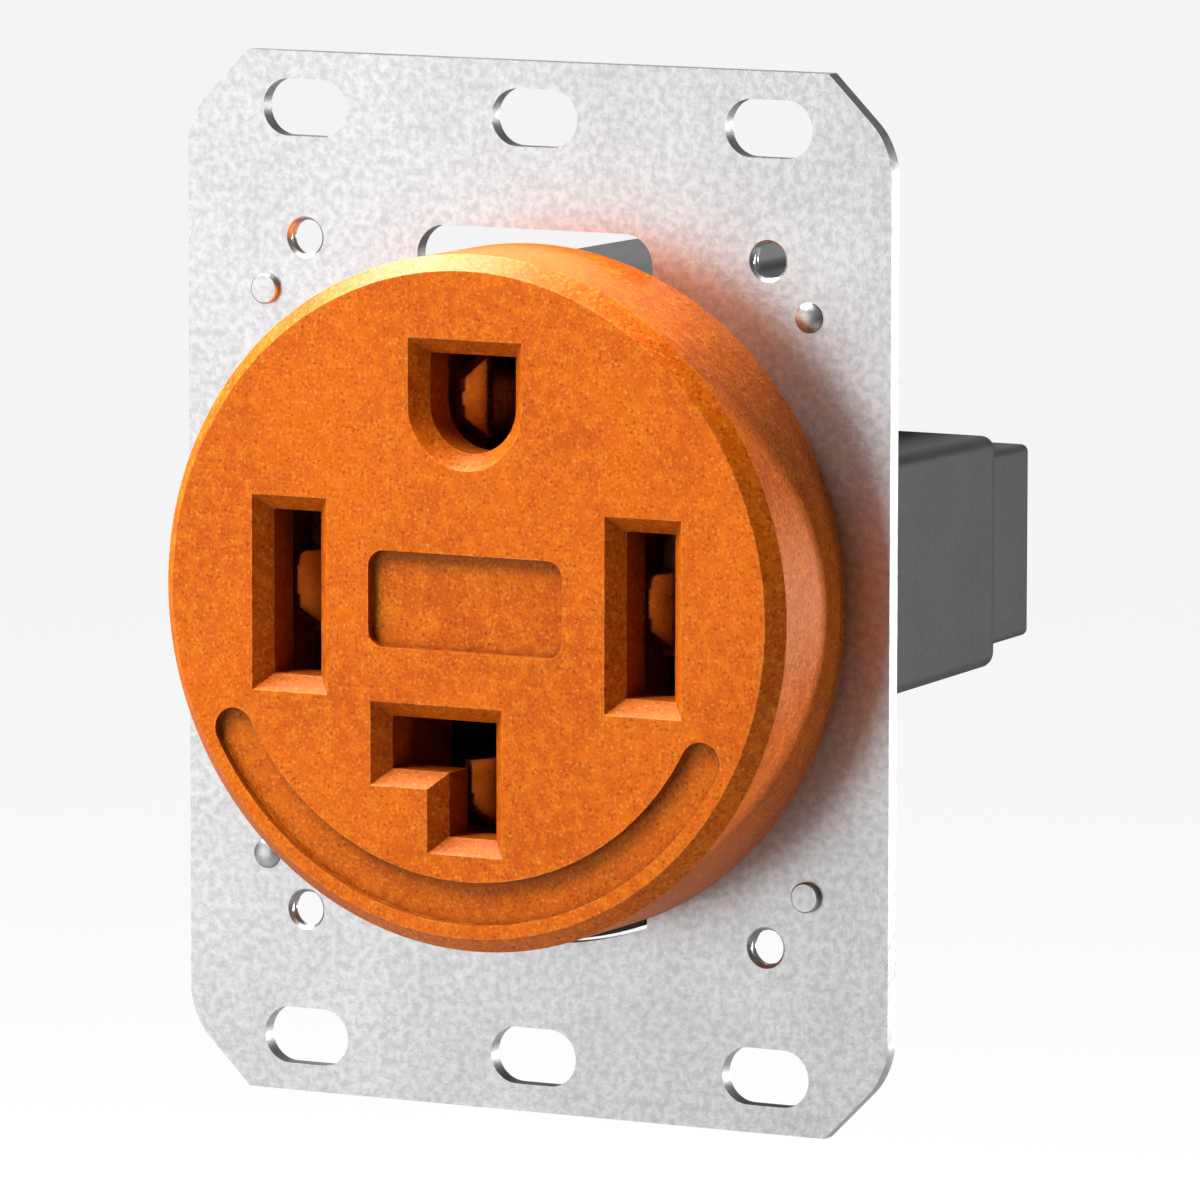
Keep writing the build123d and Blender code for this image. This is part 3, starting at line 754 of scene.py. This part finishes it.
@dataclass(frozen=True)
class Thermoset:
    """Mottled orange phenolic: cloudy colour, fine specks, pale edges that are partly worn and partly a
    painted highlight, and painted shade in recesses.
    """

    base: Colour = colour(224, 101, 4)
    deep: Colour = colour(208, 88, 4)
    pale: Colour = colour(238, 121, 16)
    # Pale cream: worn specks at random, and on the edges partly a painted highlight.
    rubbed_and_highlight: Colour = colour(254, 188, 96)
    speck: Colour = colour(124, 52, 12)
    # Painted shade: near-black brown put on slot walls and in recesses where the occlusion is strong.
    recess: Colour = colour(36, 14, 6)
    gloss: Colour = (1.0, 0.72, 0.34, 1.0)
    sizes: tuple[float, float, float] = (110.0, 850.0, 3200.0)
    cloud_span: Span = (0.38, 0.62)
    pale_span: Span = (0.44, 0.74)
    rubbed_span: Span = (0.58, 0.76)
    rubbed_most: float = 0.42
    speck_span: Span = (0.42, 0.26)
    speck_most: float = 0.75
    # Reach, range and largest share of the painted shade that follows ambient occlusion.
    painted_shade_reach: float = 0.01
    recess_span: Span = (0.84, 0.66)
    painted_shade_most: float = 0.9
    # Edge mask: pale edges, partly worn and partly a painted highlight.
    wear_and_highlight_reach: float = 0.00022
    wear_and_highlight_size: float = 700.0
    wear_and_highlight_strength: float = 0.7
    rough: Span = (0.36, 0.5)
    blotch_height: float = 0.6
    relief: Relief = Relief(0.25, 0.00004)
    specular: float = 0.3

    def tone(self, surface: Surface) -> Socket:
        """Mix the colour: clouds, then blotches, specks, painted shade in recesses, and pale edges that are
        partly worn and partly a painted highlight.

        Args:
            surface: The material being made.

        Returns:
            The colour.
        """
        graph = surface.graph
        wear_and_highlight = surface.groups.wear_and_highlight.placed(graph, {"Reach": self.wear_and_highlight_reach, "Break Size": self.wear_and_highlight_size,
                                                  "Strength": self.wear_and_highlight_strength})
        # Painted shade: ambient occlusion darkens slopes, slot walls and recess corners.
        occlusion = graph.add("AmbientOcclusion", {"Distance": self.painted_shade_reach}, samples=1, only_local=True)
        rubs = surface.level(Layer.FINE, self.rubbed_span, (0.0, self.rubbed_most))
        specks = surface.level(Layer.FINE, self.speck_span, (0.0, self.speck_most))
        # Share of painted shade at this point, from the occlusion.
        depth = graph.remap(occlusion.outputs["AO"], self.recess_span, (0.0, self.painted_shade_most))
        tone = graph.mix(surface.level(Layer.CLOUD, self.cloud_span), self.deep, self.base)
        tone = graph.mix(surface.level(Layer.BLOTCH, self.pale_span), tone, self.pale)
        tone = graph.mix(rubs, tone, self.rubbed_and_highlight)
        tone = graph.mix(specks, tone, self.speck)
        # Painted shade in recesses and slot walls.
        tone = graph.mix(depth, tone, self.recess)
        # Pale edges: partly worn, partly a painted highlight.
        return graph.mix(wear_and_highlight.outputs["Mask"], tone, self.rubbed_and_highlight)

    def build(self, groups: Groups) -> bpy.types.Material:
        """Make the material.

        Args:
            groups: The shared groups.

        Returns:
            The material.
        """
        surface = Surface("orange_thermoset", groups, self.sizes)
        surface.paint(self.tone(surface))
        surface.roughen(Layer.BLOTCH, self.rough)
        blotches = surface.graph.grow(surface.grain["Blotch"], self.blotch_height)
        surface.emboss(surface.graph.math("ADD", surface.grain["Fine"], blotches), self.relief)
        surface.inputs["Specular IOR Level"].default_value = self.specular
        surface.inputs["Specular Tint"].default_value = self.gloss
        return surface.material


@dataclass(frozen=True)
class GalvanisedSheet:
    """Zinc-coated sheet with an orange-peel surface."""

    base: Colour = colour(198, 198, 199)
    dull: Colour = colour(176, 176, 178)
    sizes: tuple[float, float, float] = (90.0, 1300.0, 4200.0)
    dull_span: Span = (0.38, 0.62)
    rough: Span = (0.38, 0.33)
    fine_height: float = 0.3
    relief: Relief = Relief(0.45, 0.00005)
    metallic: float = 0.97

    def build(self, groups: Groups) -> bpy.types.Material:
        """Make the material.

        Args:
            groups: The shared groups.

        Returns:
            The material.
        """
        surface = Surface("galvanised_steel", groups, self.sizes)
        surface.paint(surface.graph.mix(surface.level(Layer.BLOTCH, self.dull_span), self.dull, self.base))
        surface.roughen(Layer.CLOUD, self.rough)
        peel = surface.graph.grow(surface.grain["Fine"], self.fine_height)
        surface.emboss(surface.graph.math("ADD", surface.grain["Blotch"], peel), self.relief)
        surface.inputs["Metallic"].default_value = self.metallic
        return surface.material


@dataclass(frozen=True)
class DarkMoulding:
    """Dark grey filled nylon with a fine spark-eroded grain."""

    base: Colour = colour(65, 65, 66)
    deep: Colour = colour(58, 58, 59)
    sizes: tuple[float, float, float] = (60.0, 1500.0, 4400.0)
    deep_span: Span = (0.35, 0.65)
    rough: Span = (0.5, 0.62)
    relief: Relief = Relief(0.25, 0.00004)
    edge: float = 0.0003
    specular: float = 0.25

    def build(self, groups: Groups) -> bpy.types.Material:
        """Make the material.

        Args:
            groups: The shared groups.

        Returns:
            The material.
        """
        surface = Surface("grey_moulding", groups, self.sizes)
        surface.paint(surface.graph.mix(surface.level(Layer.BLOTCH, self.deep_span), self.deep, self.base))
        surface.roughen(Layer.CLOUD, self.rough)
        surface.emboss(surface.grain["Fine"], self.relief, self.edge)
        surface.inputs["Specular IOR Level"].default_value = self.specular
        return surface.material


@dataclass(frozen=True)
class Metal:
    """Plain metal stock: a colour that varies a little, and a brushed or tumbled roughness."""

    name: str
    base: Colour
    dull: Colour
    rough: Span = (0.28, 0.42)
    edge: float = 0.00015
    sizes: tuple[float, float, float] = (180.0, 1200.0, 5200.0)
    dull_span: Span = (0.35, 0.65)
    relief: Relief = Relief(0.2, 0.00002)

    def build(self, groups: Groups) -> bpy.types.Material:
        """Make the material.

        Args:
            groups: The shared groups.

        Returns:
            The material.
        """
        surface = Surface(self.name, groups, self.sizes)
        surface.paint(surface.graph.mix(surface.level(Layer.CLOUD, self.dull_span), self.dull, self.base))
        surface.roughen(Layer.BLOTCH, self.rough)
        surface.emboss(surface.grain["Fine"], self.relief, self.edge)
        surface.inputs["Metallic"].default_value = 1.0
        return surface.material


class Palette:
    """Every material of the object, by its slot."""

    def __init__(self) -> None:
        """Build the groups and the materials."""
        groups = Groups()
        self.slots = {
            "orange_thermoset": Thermoset().build(groups),
            "galvanised_steel": GalvanisedSheet().build(groups),
            "grey_moulding": DarkMoulding().build(groups),
        }
        metals = (
            Metal("plated_steel", colour(205, 205, 205), colour(170, 170, 168)),
            Metal("spring_steel", colour(190, 190, 195), colour(150, 150, 156), (0.2, 0.3)),
            Metal("brass", colour(214, 176, 98), colour(180, 140, 70)),
            Metal("contact_brass", colour(226, 158, 92), colour(196, 128, 68), (0.24, 0.36), 0.0003),
            Metal("green_screw", colour(64, 150, 84), colour(40, 110, 60), (0.25, 0.4)),
        )
        self.slots |= {metal.name: metal.build(groups) for metal in metals}

    def dress(self, slot: str, replaces: str, edge: Edge | None = None) -> Dress:
        """How a new piece of a record slot is dressed."""
        return Dress(self.slots[slot], slot, replaces, edge)


@dataclass
class PlugFace:
    """Sizes of the plug slots, and of the pockets behind them that hold the contacts' jaws."""

    face_y: float = packed_box("front_body")[0][Y]
    wall_y: float = -9.45
    hot_x: float = 17.5
    hot_w: float = 4.75
    hot_h: float = 14.6
    neutral_w: float = 4.7
    neutral_top: float = -10.3
    neutral_left: float = -8.0
    neutral_bottom: float = -20.65
    ground_w: float = 8.5
    ground_top: float = 21.9
    ground_bottom: float = 13.2
    ground_steps: int = 40
    mouth_in: float = 1.38
    mouth_deep: float = 1.55
    slot_room: float = 1.0
    hot_room: float = 4.65
    ground_room: float = 5.6

    def hot(self, side: int, grow: float) -> Outline:
        """Outline of an upright slot.

        Args:
            side: -1 for the left one, 1 for the right one.
            grow: How far the outline is moved out.

        Returns:
            Points in X and Z.
        """
        half = self.hot_w / 2 + grow
        top = self.hot_h / 2 + grow
        x = side * self.hot_x
        return [(x - half, -top), (x + half, -top), (x + half, top), (x - half, top)]

    def neutral(self, grow: float) -> Outline:
        """Outline of the L slot.

        Args:
            grow: How far the outline is moved out.

        Returns:
            Points in X and Z.
        """
        half = self.neutral_w / 2 + grow
        left = self.neutral_left - grow
        top = self.neutral_top + grow
        step = self.neutral_top - self.neutral_w - grow
        bottom = self.neutral_bottom - grow
        return [(-half, bottom), (half, bottom), (half, top), (left, top), (left, step), (-half, step)]

    def ground(self, grow: float) -> Outline:
        """Outline of the U slot.

        Args:
            grow: How far the outline is moved out.

        Returns:
            Points in X and Z.
        """
        half = self.ground_w / 2 + grow
        centre = self.ground_bottom + self.ground_w / 2
        top = self.ground_top + grow
        return [*arc(half, 180, 360, self.ground_steps, z=centre), (half, top), (-half, top)]

    def outlines(self, grow: float) -> list[Outline]:
        """All four slots."""
        return [self.hot(-1, grow), self.hot(1, grow), self.neutral(grow), self.ground(grow)]

    def pockets(self) -> list[tuple[Span, Span]]:
        """The pockets that hold the contacts' jaws.

        Returns:
            Each pocket's span in X and in Z.
        """
        room = self.slot_room
        top = self.hot_h / 2 + room
        hot = [((side * self.hot_x - self.hot_room, side * self.hot_x + self.hot_room), (-top, top))
               for side in (-1, 1)]
        neutral = ((self.neutral_left - room, self.hot_room),
                   (self.neutral_bottom - room, self.neutral_top + room))
        ground = ((-self.ground_room, self.ground_room), (self.ground_bottom - room, self.ground_top + room))
        return [*hot, neutral, ground]


@dataclass
class PanScrew:
    """A pan-head screw with a cross recess and a thread, its seat at Y = 0 and its head to the rear.

    Its head is as wide as the cover's packed screw. The cutter of its recess passes the head's top by
    recess_over. It is recess_flare times as wide there as recess_w, and recess_taper times at its floor.
    """

    length: float
    thread: Thread = Thread(1.75, 1.4, 0.794)
    head_r: float = packed_box("cover_screw")[1][X]
    head_t: float = 2.3
    crown_r: float = 1.15
    crown_rise: float = 0.25
    recess_span: float = 3.6
    recess_w: float = 0.9
    recess_deep: float = 1.35
    recess_taper: float = 0.6
    recess_over: float = 0.5
    recess_flare: float = 1.16562
    neck: float = 0.3
    lead: float = 0.6

    @classmethod
    def standing_for(cls, node: str) -> tuple["PanScrew", float]:
        """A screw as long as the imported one.

        Args:
            node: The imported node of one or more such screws.

        Returns:
            The screw, and the depth of its seat.
        """
        low, high = packed_box(node)
        seat = neat(high[Y] - cls.head_t)
        return cls(neat(seat - low[Y])), seat

    def head(self) -> Form:
        """The rounded head, before its recess.

        Returns:
            A closed form.
        """
        top = self.head_t - self.crown_rise
        corner = quarter(self.head_r - self.crown_r, top - self.crown_r, self.crown_r, self.crown_r)
        return Form.lathe([(0, self.head_t), *corner, (self.head_r, 0), (0, 0)], ROUND_TURN)

    def recess(self) -> Form:
        """Make the cutter for the cross recess, narrower at its floor.

        Returns:
            A closed form.
        """
        slots = []
        long, short = self.recess_span / 2, self.recess_w / 2
        floor_y, mouth_y = self.head_t - self.recess_deep, self.head_t + self.recess_over
        for x, z in ((long, short), (short, long)):
            outline = [(-x, -z), (x, -z), (x, z), (-x, z)]
            floor, mouth = ([(a * share, b * share) for a, b in outline]
                            for share in (self.recess_taper, self.recess_flare))
            slots.append(Form.loft(floor, mouth, floor_y, mouth_y))
        return slots[0].add(slots[1])

    def form(self) -> Form:
        """The whole screw."""
        shank = Form.threaded(self.thread, -self.length, self.neck, self.lead)
        return self.head().cut(self.recess()).add(shank)


@dataclass
class SetScrew:
    """A slotted terminal screw on the Y axis, its tip at Y = 0 and its slot at the front end."""

    length: float = neat(LINE_SCREW[1][Z] - LINE_SCREW[0][Z])
    thread: Thread = Thread(2.95, 2.45, 1.0)
    lead: float = 1.2
    slot_w: float = 1.2
    slot_deep: float = 1.6

    def form(self) -> Form:
        """The whole screw.

        Returns:
            A closed form.
        """
        body = Form.threaded(self.thread, -self.length, 0, self.lead)
        wide = self.thread.crest + PAST
        slot = Form.box((-wide, wide), (-self.length - PAST, self.slot_deep - self.length),
                        (-self.slot_w / 2, self.slot_w / 2))
        return body.cut(slot)


@dataclass
class Fasteners:
    """All the screws: four through the rear flange, one in the cover, one in each terminal."""

    palette: Palette
    boss: float = neat(packed_box("assembly_screws")[1][X] - PanScrew.head_r)
    lug_y: float = packed_middle("line_x_terminal_screw", Y)
    tip: float = LINE_SCREW[1][Z]
    hot_x: float = packed_middle("line_x_terminal_screw", X)
    upright_z: float = packed_middle("ground_terminal_screw", Z)

    def terminals(self) -> dict[str, tuple[Matrix, str]]:
        """Where each terminal stands, and the slot of its screw.

        Returns:
            A place and a slot for each terminal's name.
        """
        up = Matrix.Translation((0, 0, self.upright_z)) @ Matrix.Rotation(-pi / 2, 4, "Y")
        down = Matrix.Translation((0, 0, -self.upright_z)) @ Matrix.Rotation(pi / 2, 4, "Y")
        return {
            "line_x": (Matrix.Translation((self.hot_x, 0, 0)), "brass"),
            "line_y": (Matrix.Translation((-self.hot_x, 0, 0)), "brass"),
            "ground": (up, "green_screw"),
            "neutral": (down, "plated_steel"),
        }

    def build(self) -> None:
        """Make the pieces."""
        screw, seat = PanScrew.standing_for("assembly_screws")
        form = screw.form()
        four = [form.placed(across * self.boss, seat, up * self.boss) for across, up in FOUR_CORNERS]
        finish_piece("flange_screws", four[0].with_all(four[1:]),
                     self.palette.dress("plated_steel", "assembly_screws"))
        screw, seat = PanScrew.standing_for("cover_screw")
        finish_piece("cover_centre_screw", screw.form().placed(y=seat),
                     self.palette.dress("plated_steel", "cover_screw"))
        upright = Matrix.Translation((0, self.lug_y, self.tip)) @ Matrix.Rotation(pi / 2, 4, "X")
        for name, (place, slot) in self.terminals().items():
            finish_piece(f"{name}_binding_screw", SetScrew().form().moved(place @ upright),
                         self.palette.dress(slot, f"{name}_terminal_screw"))


@dataclass
class FrontBody:
    """Round thermoset moulding with four slots, a tablet recess and a recess along the lower rim."""

    palette: Palette
    plug: PlugFace
    radius: float = packed_box("front_body")[1][X]
    rear_y: float = STRAP_FRONT
    bevel_in: float = 1.35
    bevel_deep: float = 1.55
    spigot_r: float = 25.8
    tablet_half: float = 9.6
    tablet_span: Span = (-4.1, 4.45)
    tablet_r: float = 1.5
    tablet_steps: int = 6
    arc_r: float = 26.2
    arc_w: float = 3.8
    arc_end: float = 28.0
    arc_steps: int = 60
    tip_steps: int = 12
    recess_deep: float = 0.85
    boss: float = Fasteners.boss
    insert_r: float = neat(packed_box("threaded_inserts")[1][X] - Fasteners.boss)
    insert_y: float = packed_box("threaded_inserts")[0][Y]
    edge: Edge = Edge(0.14, 2)

    def disc(self) -> Form:
        """Bevelled disc and the spigot behind it.

        Returns:
            A closed form.
        """
        face_y = self.plug.face_y
        profile = [(0, face_y), (self.radius - self.bevel_in, face_y),
                   (self.radius, face_y + self.bevel_deep), (self.radius, self.rear_y),
                   (self.spigot_r, self.rear_y), (self.spigot_r, 0), (0, 0)]
        return Form.lathe(profile, LARGE_TURN)

    def slot_tools(self) -> list[Form]:
        """Make a cutter for each slot with its sloping mouth.

        Returns:
            Four closed forms.
        """
        plug = self.plug
        mouth_y = plug.face_y + plug.mouth_deep
        tools = []
        for outline in plug.outlines(plug.mouth_in):
            tool = Form.prism(outline, plug.face_y - PAST, plug.face_y)
            tool.stepped(plug.face_y, plug.mouth_in, plug.mouth_deep)
            tool.stepped(mouth_y, 0.0, plug.wall_y + PAST - mouth_y)
            tools.append(tool.outwards())
        return tools

    def recess_tools(self) -> list[Form]:
        """Make the cutters for the tablet recess and the recess along the rim.

        Returns:
            Two closed forms.
        """
        span = (self.plug.face_y - PAST, self.plug.face_y + self.recess_deep)
        tablet = Form.box((-self.tablet_half, self.tablet_half), span, self.tablet_span)
        tablet.rounded(along_y, self.tablet_r, self.tablet_steps)
        tip = self.arc_w / 2
        start, end = 180 + self.arc_end, 360 - self.arc_end
        right, left = ((self.arc_r * cos(radians(a)), self.arc_r * sin(radians(a))) for a in (end, start))
        outline = [*arc(self.arc_r + tip, start, end, self.arc_steps),
                   *arc(tip, end, end + 180, self.tip_steps, *right)[1:-1],
                   *arc(self.arc_r - tip, end, start, self.arc_steps),
                   *arc(tip, start + 180, start + 360, self.tip_steps, *left)[1:-1]]
        return [tablet, Form.prism(outline, *span)]

    def build(self) -> None:
        """Make the piece."""
        form = self.disc().cut(*self.slot_tools(), *self.recess_tools())
        for x, z in self.plug.pockets():
            form.cut(Form.box(x, (self.plug.wall_y, PAST), z))
        for across, up in FOUR_CORNERS:
            outline = hexagon(self.insert_r, across * self.boss, up * self.boss)
            form.cut(Form.prism(outline, self.insert_y, PAST))
        finish_piece("front_body_moulding", form,
                     self.palette.dress("orange_thermoset", "front_body", self.edge))


@dataclass
class MountingStrap:
    """Stamped strap with box slots, tapped plate holes and four half-sheared pips."""

    palette: Palette
    half_w: float = packed_box("mounting_strap")[1][X]
    half_h: float = packed_box("mounting_strap")[1][Z]
    front_y: float = STRAP_FRONT
    corner: float = 6.1
    corner_r: float = 2.5
    spigot_hole_r: float = 26.0
    window_half: float = 11.7
    window_top: float = 31.9
    window_r: float = 2.75
    round_steps: int = 10
    notch_half: float = 11.3
    notch_r: float = 31.4
    slot_column: float = BOX_SLOTS["spacing_x_mm"] / 2
    slot_row: float = BOX_SLOTS["spacing_y_mm"] / 2
    slot_length: float = BOX_SLOTS["slot_length_mm"]
    slot_r: float = BOX_SLOTS["hole_r_mm"]
    slot_steps: int = 12
    plate_row: float = PLATE_HOLES["spacing_y_mm"] / 2
    plate_mouth: float = 1.86
    plate_tip: float = 1.4
    plate_lead: float = 0.3
    plate_thread: Thread = Thread(1.74, 1.5, 0.794)
    plate_thread_lead: float = 0.075
    pip_x: float = 27.0
    pip_z: float = 25.4
    pip_r: float = 1.35
    pip_rise: float = 0.55
    pip_edge: float = 0.1375
    domed: tuple[tuple[int, int], ...] = ((1, 1), (-1, -1))
    edge: Edge = Edge(0.22, 3)

    def through(self) -> Span:
        """Depths of a cutter that passes through the sheet."""
        return (self.front_y - PAST, PAST)

    def blank(self) -> Form:
        """Sheet with cut corners, each run into the long edge by an arc.

        Returns:
            A closed form.
        """
        w, h, c = self.half_w, self.half_h, self.corner
        outline = [(c - w, -h), (w - c, -h), (w, c - h), (w, h - c),
                   (w - c, h), (c - w, h), (-w, h - c), (-w, c - h)]
        return Form.prism(outline, self.front_y, 0).rounded(
            lambda mid, way: along_y(mid, way) and abs(mid.x) > w - WELD, self.corner_r, self.round_steps)

    def opening_tools(self) -> list[Form]:
        """Make the cutters for the spigot hole, the window over it and the notch under it.

        Returns:
            Three closed forms.
        """
        span = self.through()
        window = Form.box((-self.window_half, self.window_half), span, (0, self.window_top))
        window.rounded(lambda mid, way: along_y(mid, way) and mid.z > WELD, self.window_r, self.round_steps)
        notch = Form.box((-self.notch_half, self.notch_half), span, (-self.notch_r - PAST, 0))
        notch.combined(Way.KEEP, [Form.rod(0, 0, self.notch_r, span, LARGE_TURN)])
        return [Form.rod(0, 0, self.spigot_hole_r, span, LARGE_TURN), window, notch]

    def slot_tools(self) -> list[Form]:
        """Make the cutters for the six box slots.

        Returns:
            Six closed forms.
        """
        half = self.slot_length / 2
        slot = Form.box((-half, half), self.through(), (-self.slot_r, self.slot_r))
        slot.rounded(along_y, self.slot_r - SLIVER, self.slot_steps)
        return [slot.placed(x=x, z=z) for x in (-self.slot_column, 0, self.slot_column)
                for z in (-self.slot_row, self.slot_row)]

    def tapped_tools(self) -> list[Form]:
        """Make the cutters for a tapped hole on the axis.

        Returns:
            Its thread, and a lead at each face.
        """
        lead, tip = self.plate_lead, self.plate_tip
        profile = [(0, -lead), (2 * self.plate_mouth - tip, -lead), (tip, lead), (0, lead)]
        cone = Form.lathe(profile, SMALL_TURN)
        thread = Form.threaded(self.plate_thread, *self.through(), self.plate_thread_lead)
        return [thread, cone.placed(y=self.front_y), cone.moved(Matrix.Rotation(pi, 4, "Z"))]

    def pip_form(self, is_domed: bool) -> Form:
        """A half-sheared pip on the axis.

        Args:
            is_domed: Whether its top is a dome. Else it is flat.

        Returns:
            A closed form.
        """
        if is_domed:
            top = quarter(0, self.front_y, self.pip_r, -self.pip_rise)
        else:
            high = self.front_y - self.pip_rise
            top = [(0, high), (self.pip_r - self.pip_edge, high), (self.pip_r, high + self.pip_edge)]
        low = self.front_y / 2
        return Form.lathe([*top, (self.pip_r, low), (0, low)], SMALL_TURN)

    def build(self) -> None:
        """Make the piece."""
        form = self.blank().cut(*self.opening_tools(), *self.slot_tools())
        tapped = self.tapped_tools()
        for across, up in FOUR_CORNERS:
            form.cut(*[tool.placed(x=across * self.slot_column, z=up * self.plate_row) for tool in tapped])
            x, z = across * self.pip_x, up * self.pip_z
            form.add(self.pip_form((across, up) in self.domed).placed(x=x, z=z))
            form.cut(Form.rod(x, z, self.pip_r, (-self.pip_rise, PAST)))
        finish_piece("strap_stamping", form,
                     self.palette.dress("galvanised_steel", "mounting_strap", self.edge))


@dataclass(frozen=True)
class Lamp:
    """A soft rectangular lamp that faces the object: place and size in metres, power in watts."""

    name: str
    place: tuple[float, float, float]
    size: tuple[float, float]
    power: float

    def build(self) -> None:
        """Add the lamp to the scene."""
        data = bpy.data.lights.new(self.name, "AREA")
        data.shape = "RECTANGLE"
        data.size, data.size_y = self.size
        data.energy = self.power
        lamp = bpy.data.objects.new(self.name, data)
        lamp.location = self.place
        lamp.rotation_euler = (-Vector(self.place)).to_track_quat("-Z", "Y").to_euler()
        lamp.visible_camera = False
        bpy.context.scene.collection.objects.link(lamp)


LAMPS = (
    Lamp("key_high", (-0.24, -0.27, 0.43), (0.24, 0.28), 4.3),
    Lamp("card_left", (-0.3, -0.42, -0.08), (0.36, 0.4), 0.95),
    Lamp("top", (-0.32, 0.03, 0.47), (0.3, 0.3), 8.5),
    Lamp("rim_rear", (0.45, 0.4, -0.06), (0.1, 0.3), 3.1),
    Lamp("rim_side", (0.55, 0.12, -0.05), (0.1, 0.3), 0.4),
)


@dataclass
class Viewpoint:
    """The photograph's camera: angles in degrees, lengths in millimetres from the strap's middle."""

    azimuth: float = 27.71
    elevation: float = 7.32
    roll: float = 0.10
    distance: float = 961.6
    shift_right: float = 5.4754
    shift_up: float = -0.9684
    lens: float = 327.2
    sensor: float = 36.0
    clip: Span = (10.0, 50000.0)
    aim_y: float = -0.75

    def build(self) -> None:
        """Place the camera."""
        a, e, r = radians(self.azimuth), radians(self.elevation), radians(self.roll)
        right = Vector((cos(a), sin(a), 0))
        back = Vector((sin(a) * cos(e), -cos(a) * cos(e), sin(e)))
        up = back.cross(right)
        across = cos(r) * right + sin(r) * up
        upright = -sin(r) * right + cos(r) * up
        eye = self.shift_right * across + self.shift_up * upright + self.distance * back
        eye += Vector((0, self.aim_y, 0))
        data = bpy.data.cameras.new("camera")
        data.lens = self.lens
        data.sensor_width = self.sensor
        data.clip_start, data.clip_end = (end * MM for end in self.clip)
        camera = bpy.data.objects.new("camera", data)
        turn = Matrix((across, upright, back)).transposed().to_4x4()
        camera.matrix_world = Matrix.Translation(eye * MM) @ turn
        bpy.context.scene.collection.objects.link(camera)
        bpy.context.scene.camera = camera


@dataclass
class Studio:
    """White surroundings and a pale floor, which light the object less than they show."""

    ambient: float = 0.06
    glossy_share: float = 0.09
    floor_z: float = -150.0
    floor_half: float = 4000.0
    floor_glow: float = 0.9
    floor_seen: Colour = grey(0.9)
    floor_felt: Colour = grey(0.25)
    floor_rough: float = 0.9

    def surroundings(self) -> None:
        """White world to the camera, softer light on the object."""
        world = bpy.data.worlds.new("surroundings")
        world.use_nodes = True
        graph = Graph(world.node_tree)
        back = world.node_tree.nodes["Background"]
        paths = graph.add("LightPath").outputs
        mirrored = graph.grow(paths["Is Glossy Ray"], self.glossy_share)
        seen = graph.math("MAXIMUM", paths["Is Camera Ray"],
                          graph.math("MAXIMUM", paths["Is Transmission Ray"], mirrored))
        back.inputs["Color"].default_value = grey(1.0)
        graph.give(graph.remap(seen, (0.0, 1.0), (self.ambient, 1.0)), back.inputs["Strength"])
        bpy.context.scene.world = world

    def floor_material(self) -> bpy.types.Material:
        """A floor that is nearly white to the camera and grey to the object.

        Returns:
            The material.
        """
        material = bpy.data.materials.new("floor")
        material.use_nodes = True
        nodes = material.node_tree.nodes
        graph = Graph(material.node_tree)
        paths = graph.add("LightPath").outputs
        seen = graph.math("MAXIMUM", paths["Is Camera Ray"], paths["Is Transmission Ray"])
        shader = nodes["Principled BSDF"]
        graph.give(graph.mix(seen, self.floor_felt, self.floor_seen), shader.inputs["Base Color"])
        shader.inputs["Roughness"].default_value = self.floor_rough
        glow = graph.add("Emission", {"Color": grey(1.0), "Strength": 1.0})
        mixed = graph.add("MixShader", {0: graph.grow(seen, self.floor_glow),
                                        1: shader.outputs[0], 2: glow.outputs[0]})
        graph.give(mixed.outputs[0], nodes["Material Output"].inputs["Surface"])
        return material

    def floor(self) -> None:
        """Pale floor well below the held part."""
        form = Form()
        bmesh.ops.create_grid(form.mesh, x_segments=1, y_segments=1, size=self.floor_half)
        floor = form.placed(z=self.floor_z).to_object("floor")
        floor.data.materials.append(self.floor_material())

    def build(self) -> None:
        """Set up the studio."""
        for lamp in LAMPS:
            lamp.build()
        self.surroundings()
        self.floor()
        bpy.context.scene.view_settings.view_transform = "Standard"


def dress_frame_nodes(palette: Palette) -> None:
    """Give every node that stays visible the material of its slot.

    Args:
        palette: The object's materials.
    """
    for entry in frame["record"]["subparts"]:
        node = frame["nodes"][entry["node"]]
        material = palette.slots[entry["material_slot"]]
        if not node.material_slots:
            node.data.materials.append(material)
        for held in node.material_slots:
            held.material = material
        LOG.info("%s: %s", entry["node"], entry["material_slot"])


def main() -> None:
    """Build the piece classes in order, then the studio and the camera."""
    logging.basicConfig(level=logging.INFO)
    palette = Palette()
    dress_frame_nodes(palette)
    FrontBody(palette, PlugFace()).build()
    MountingStrap(palette).build()
    Fasteners(palette).build()
    Studio().build()
    Viewpoint().build()


if __name__ == "__main__":
    main()
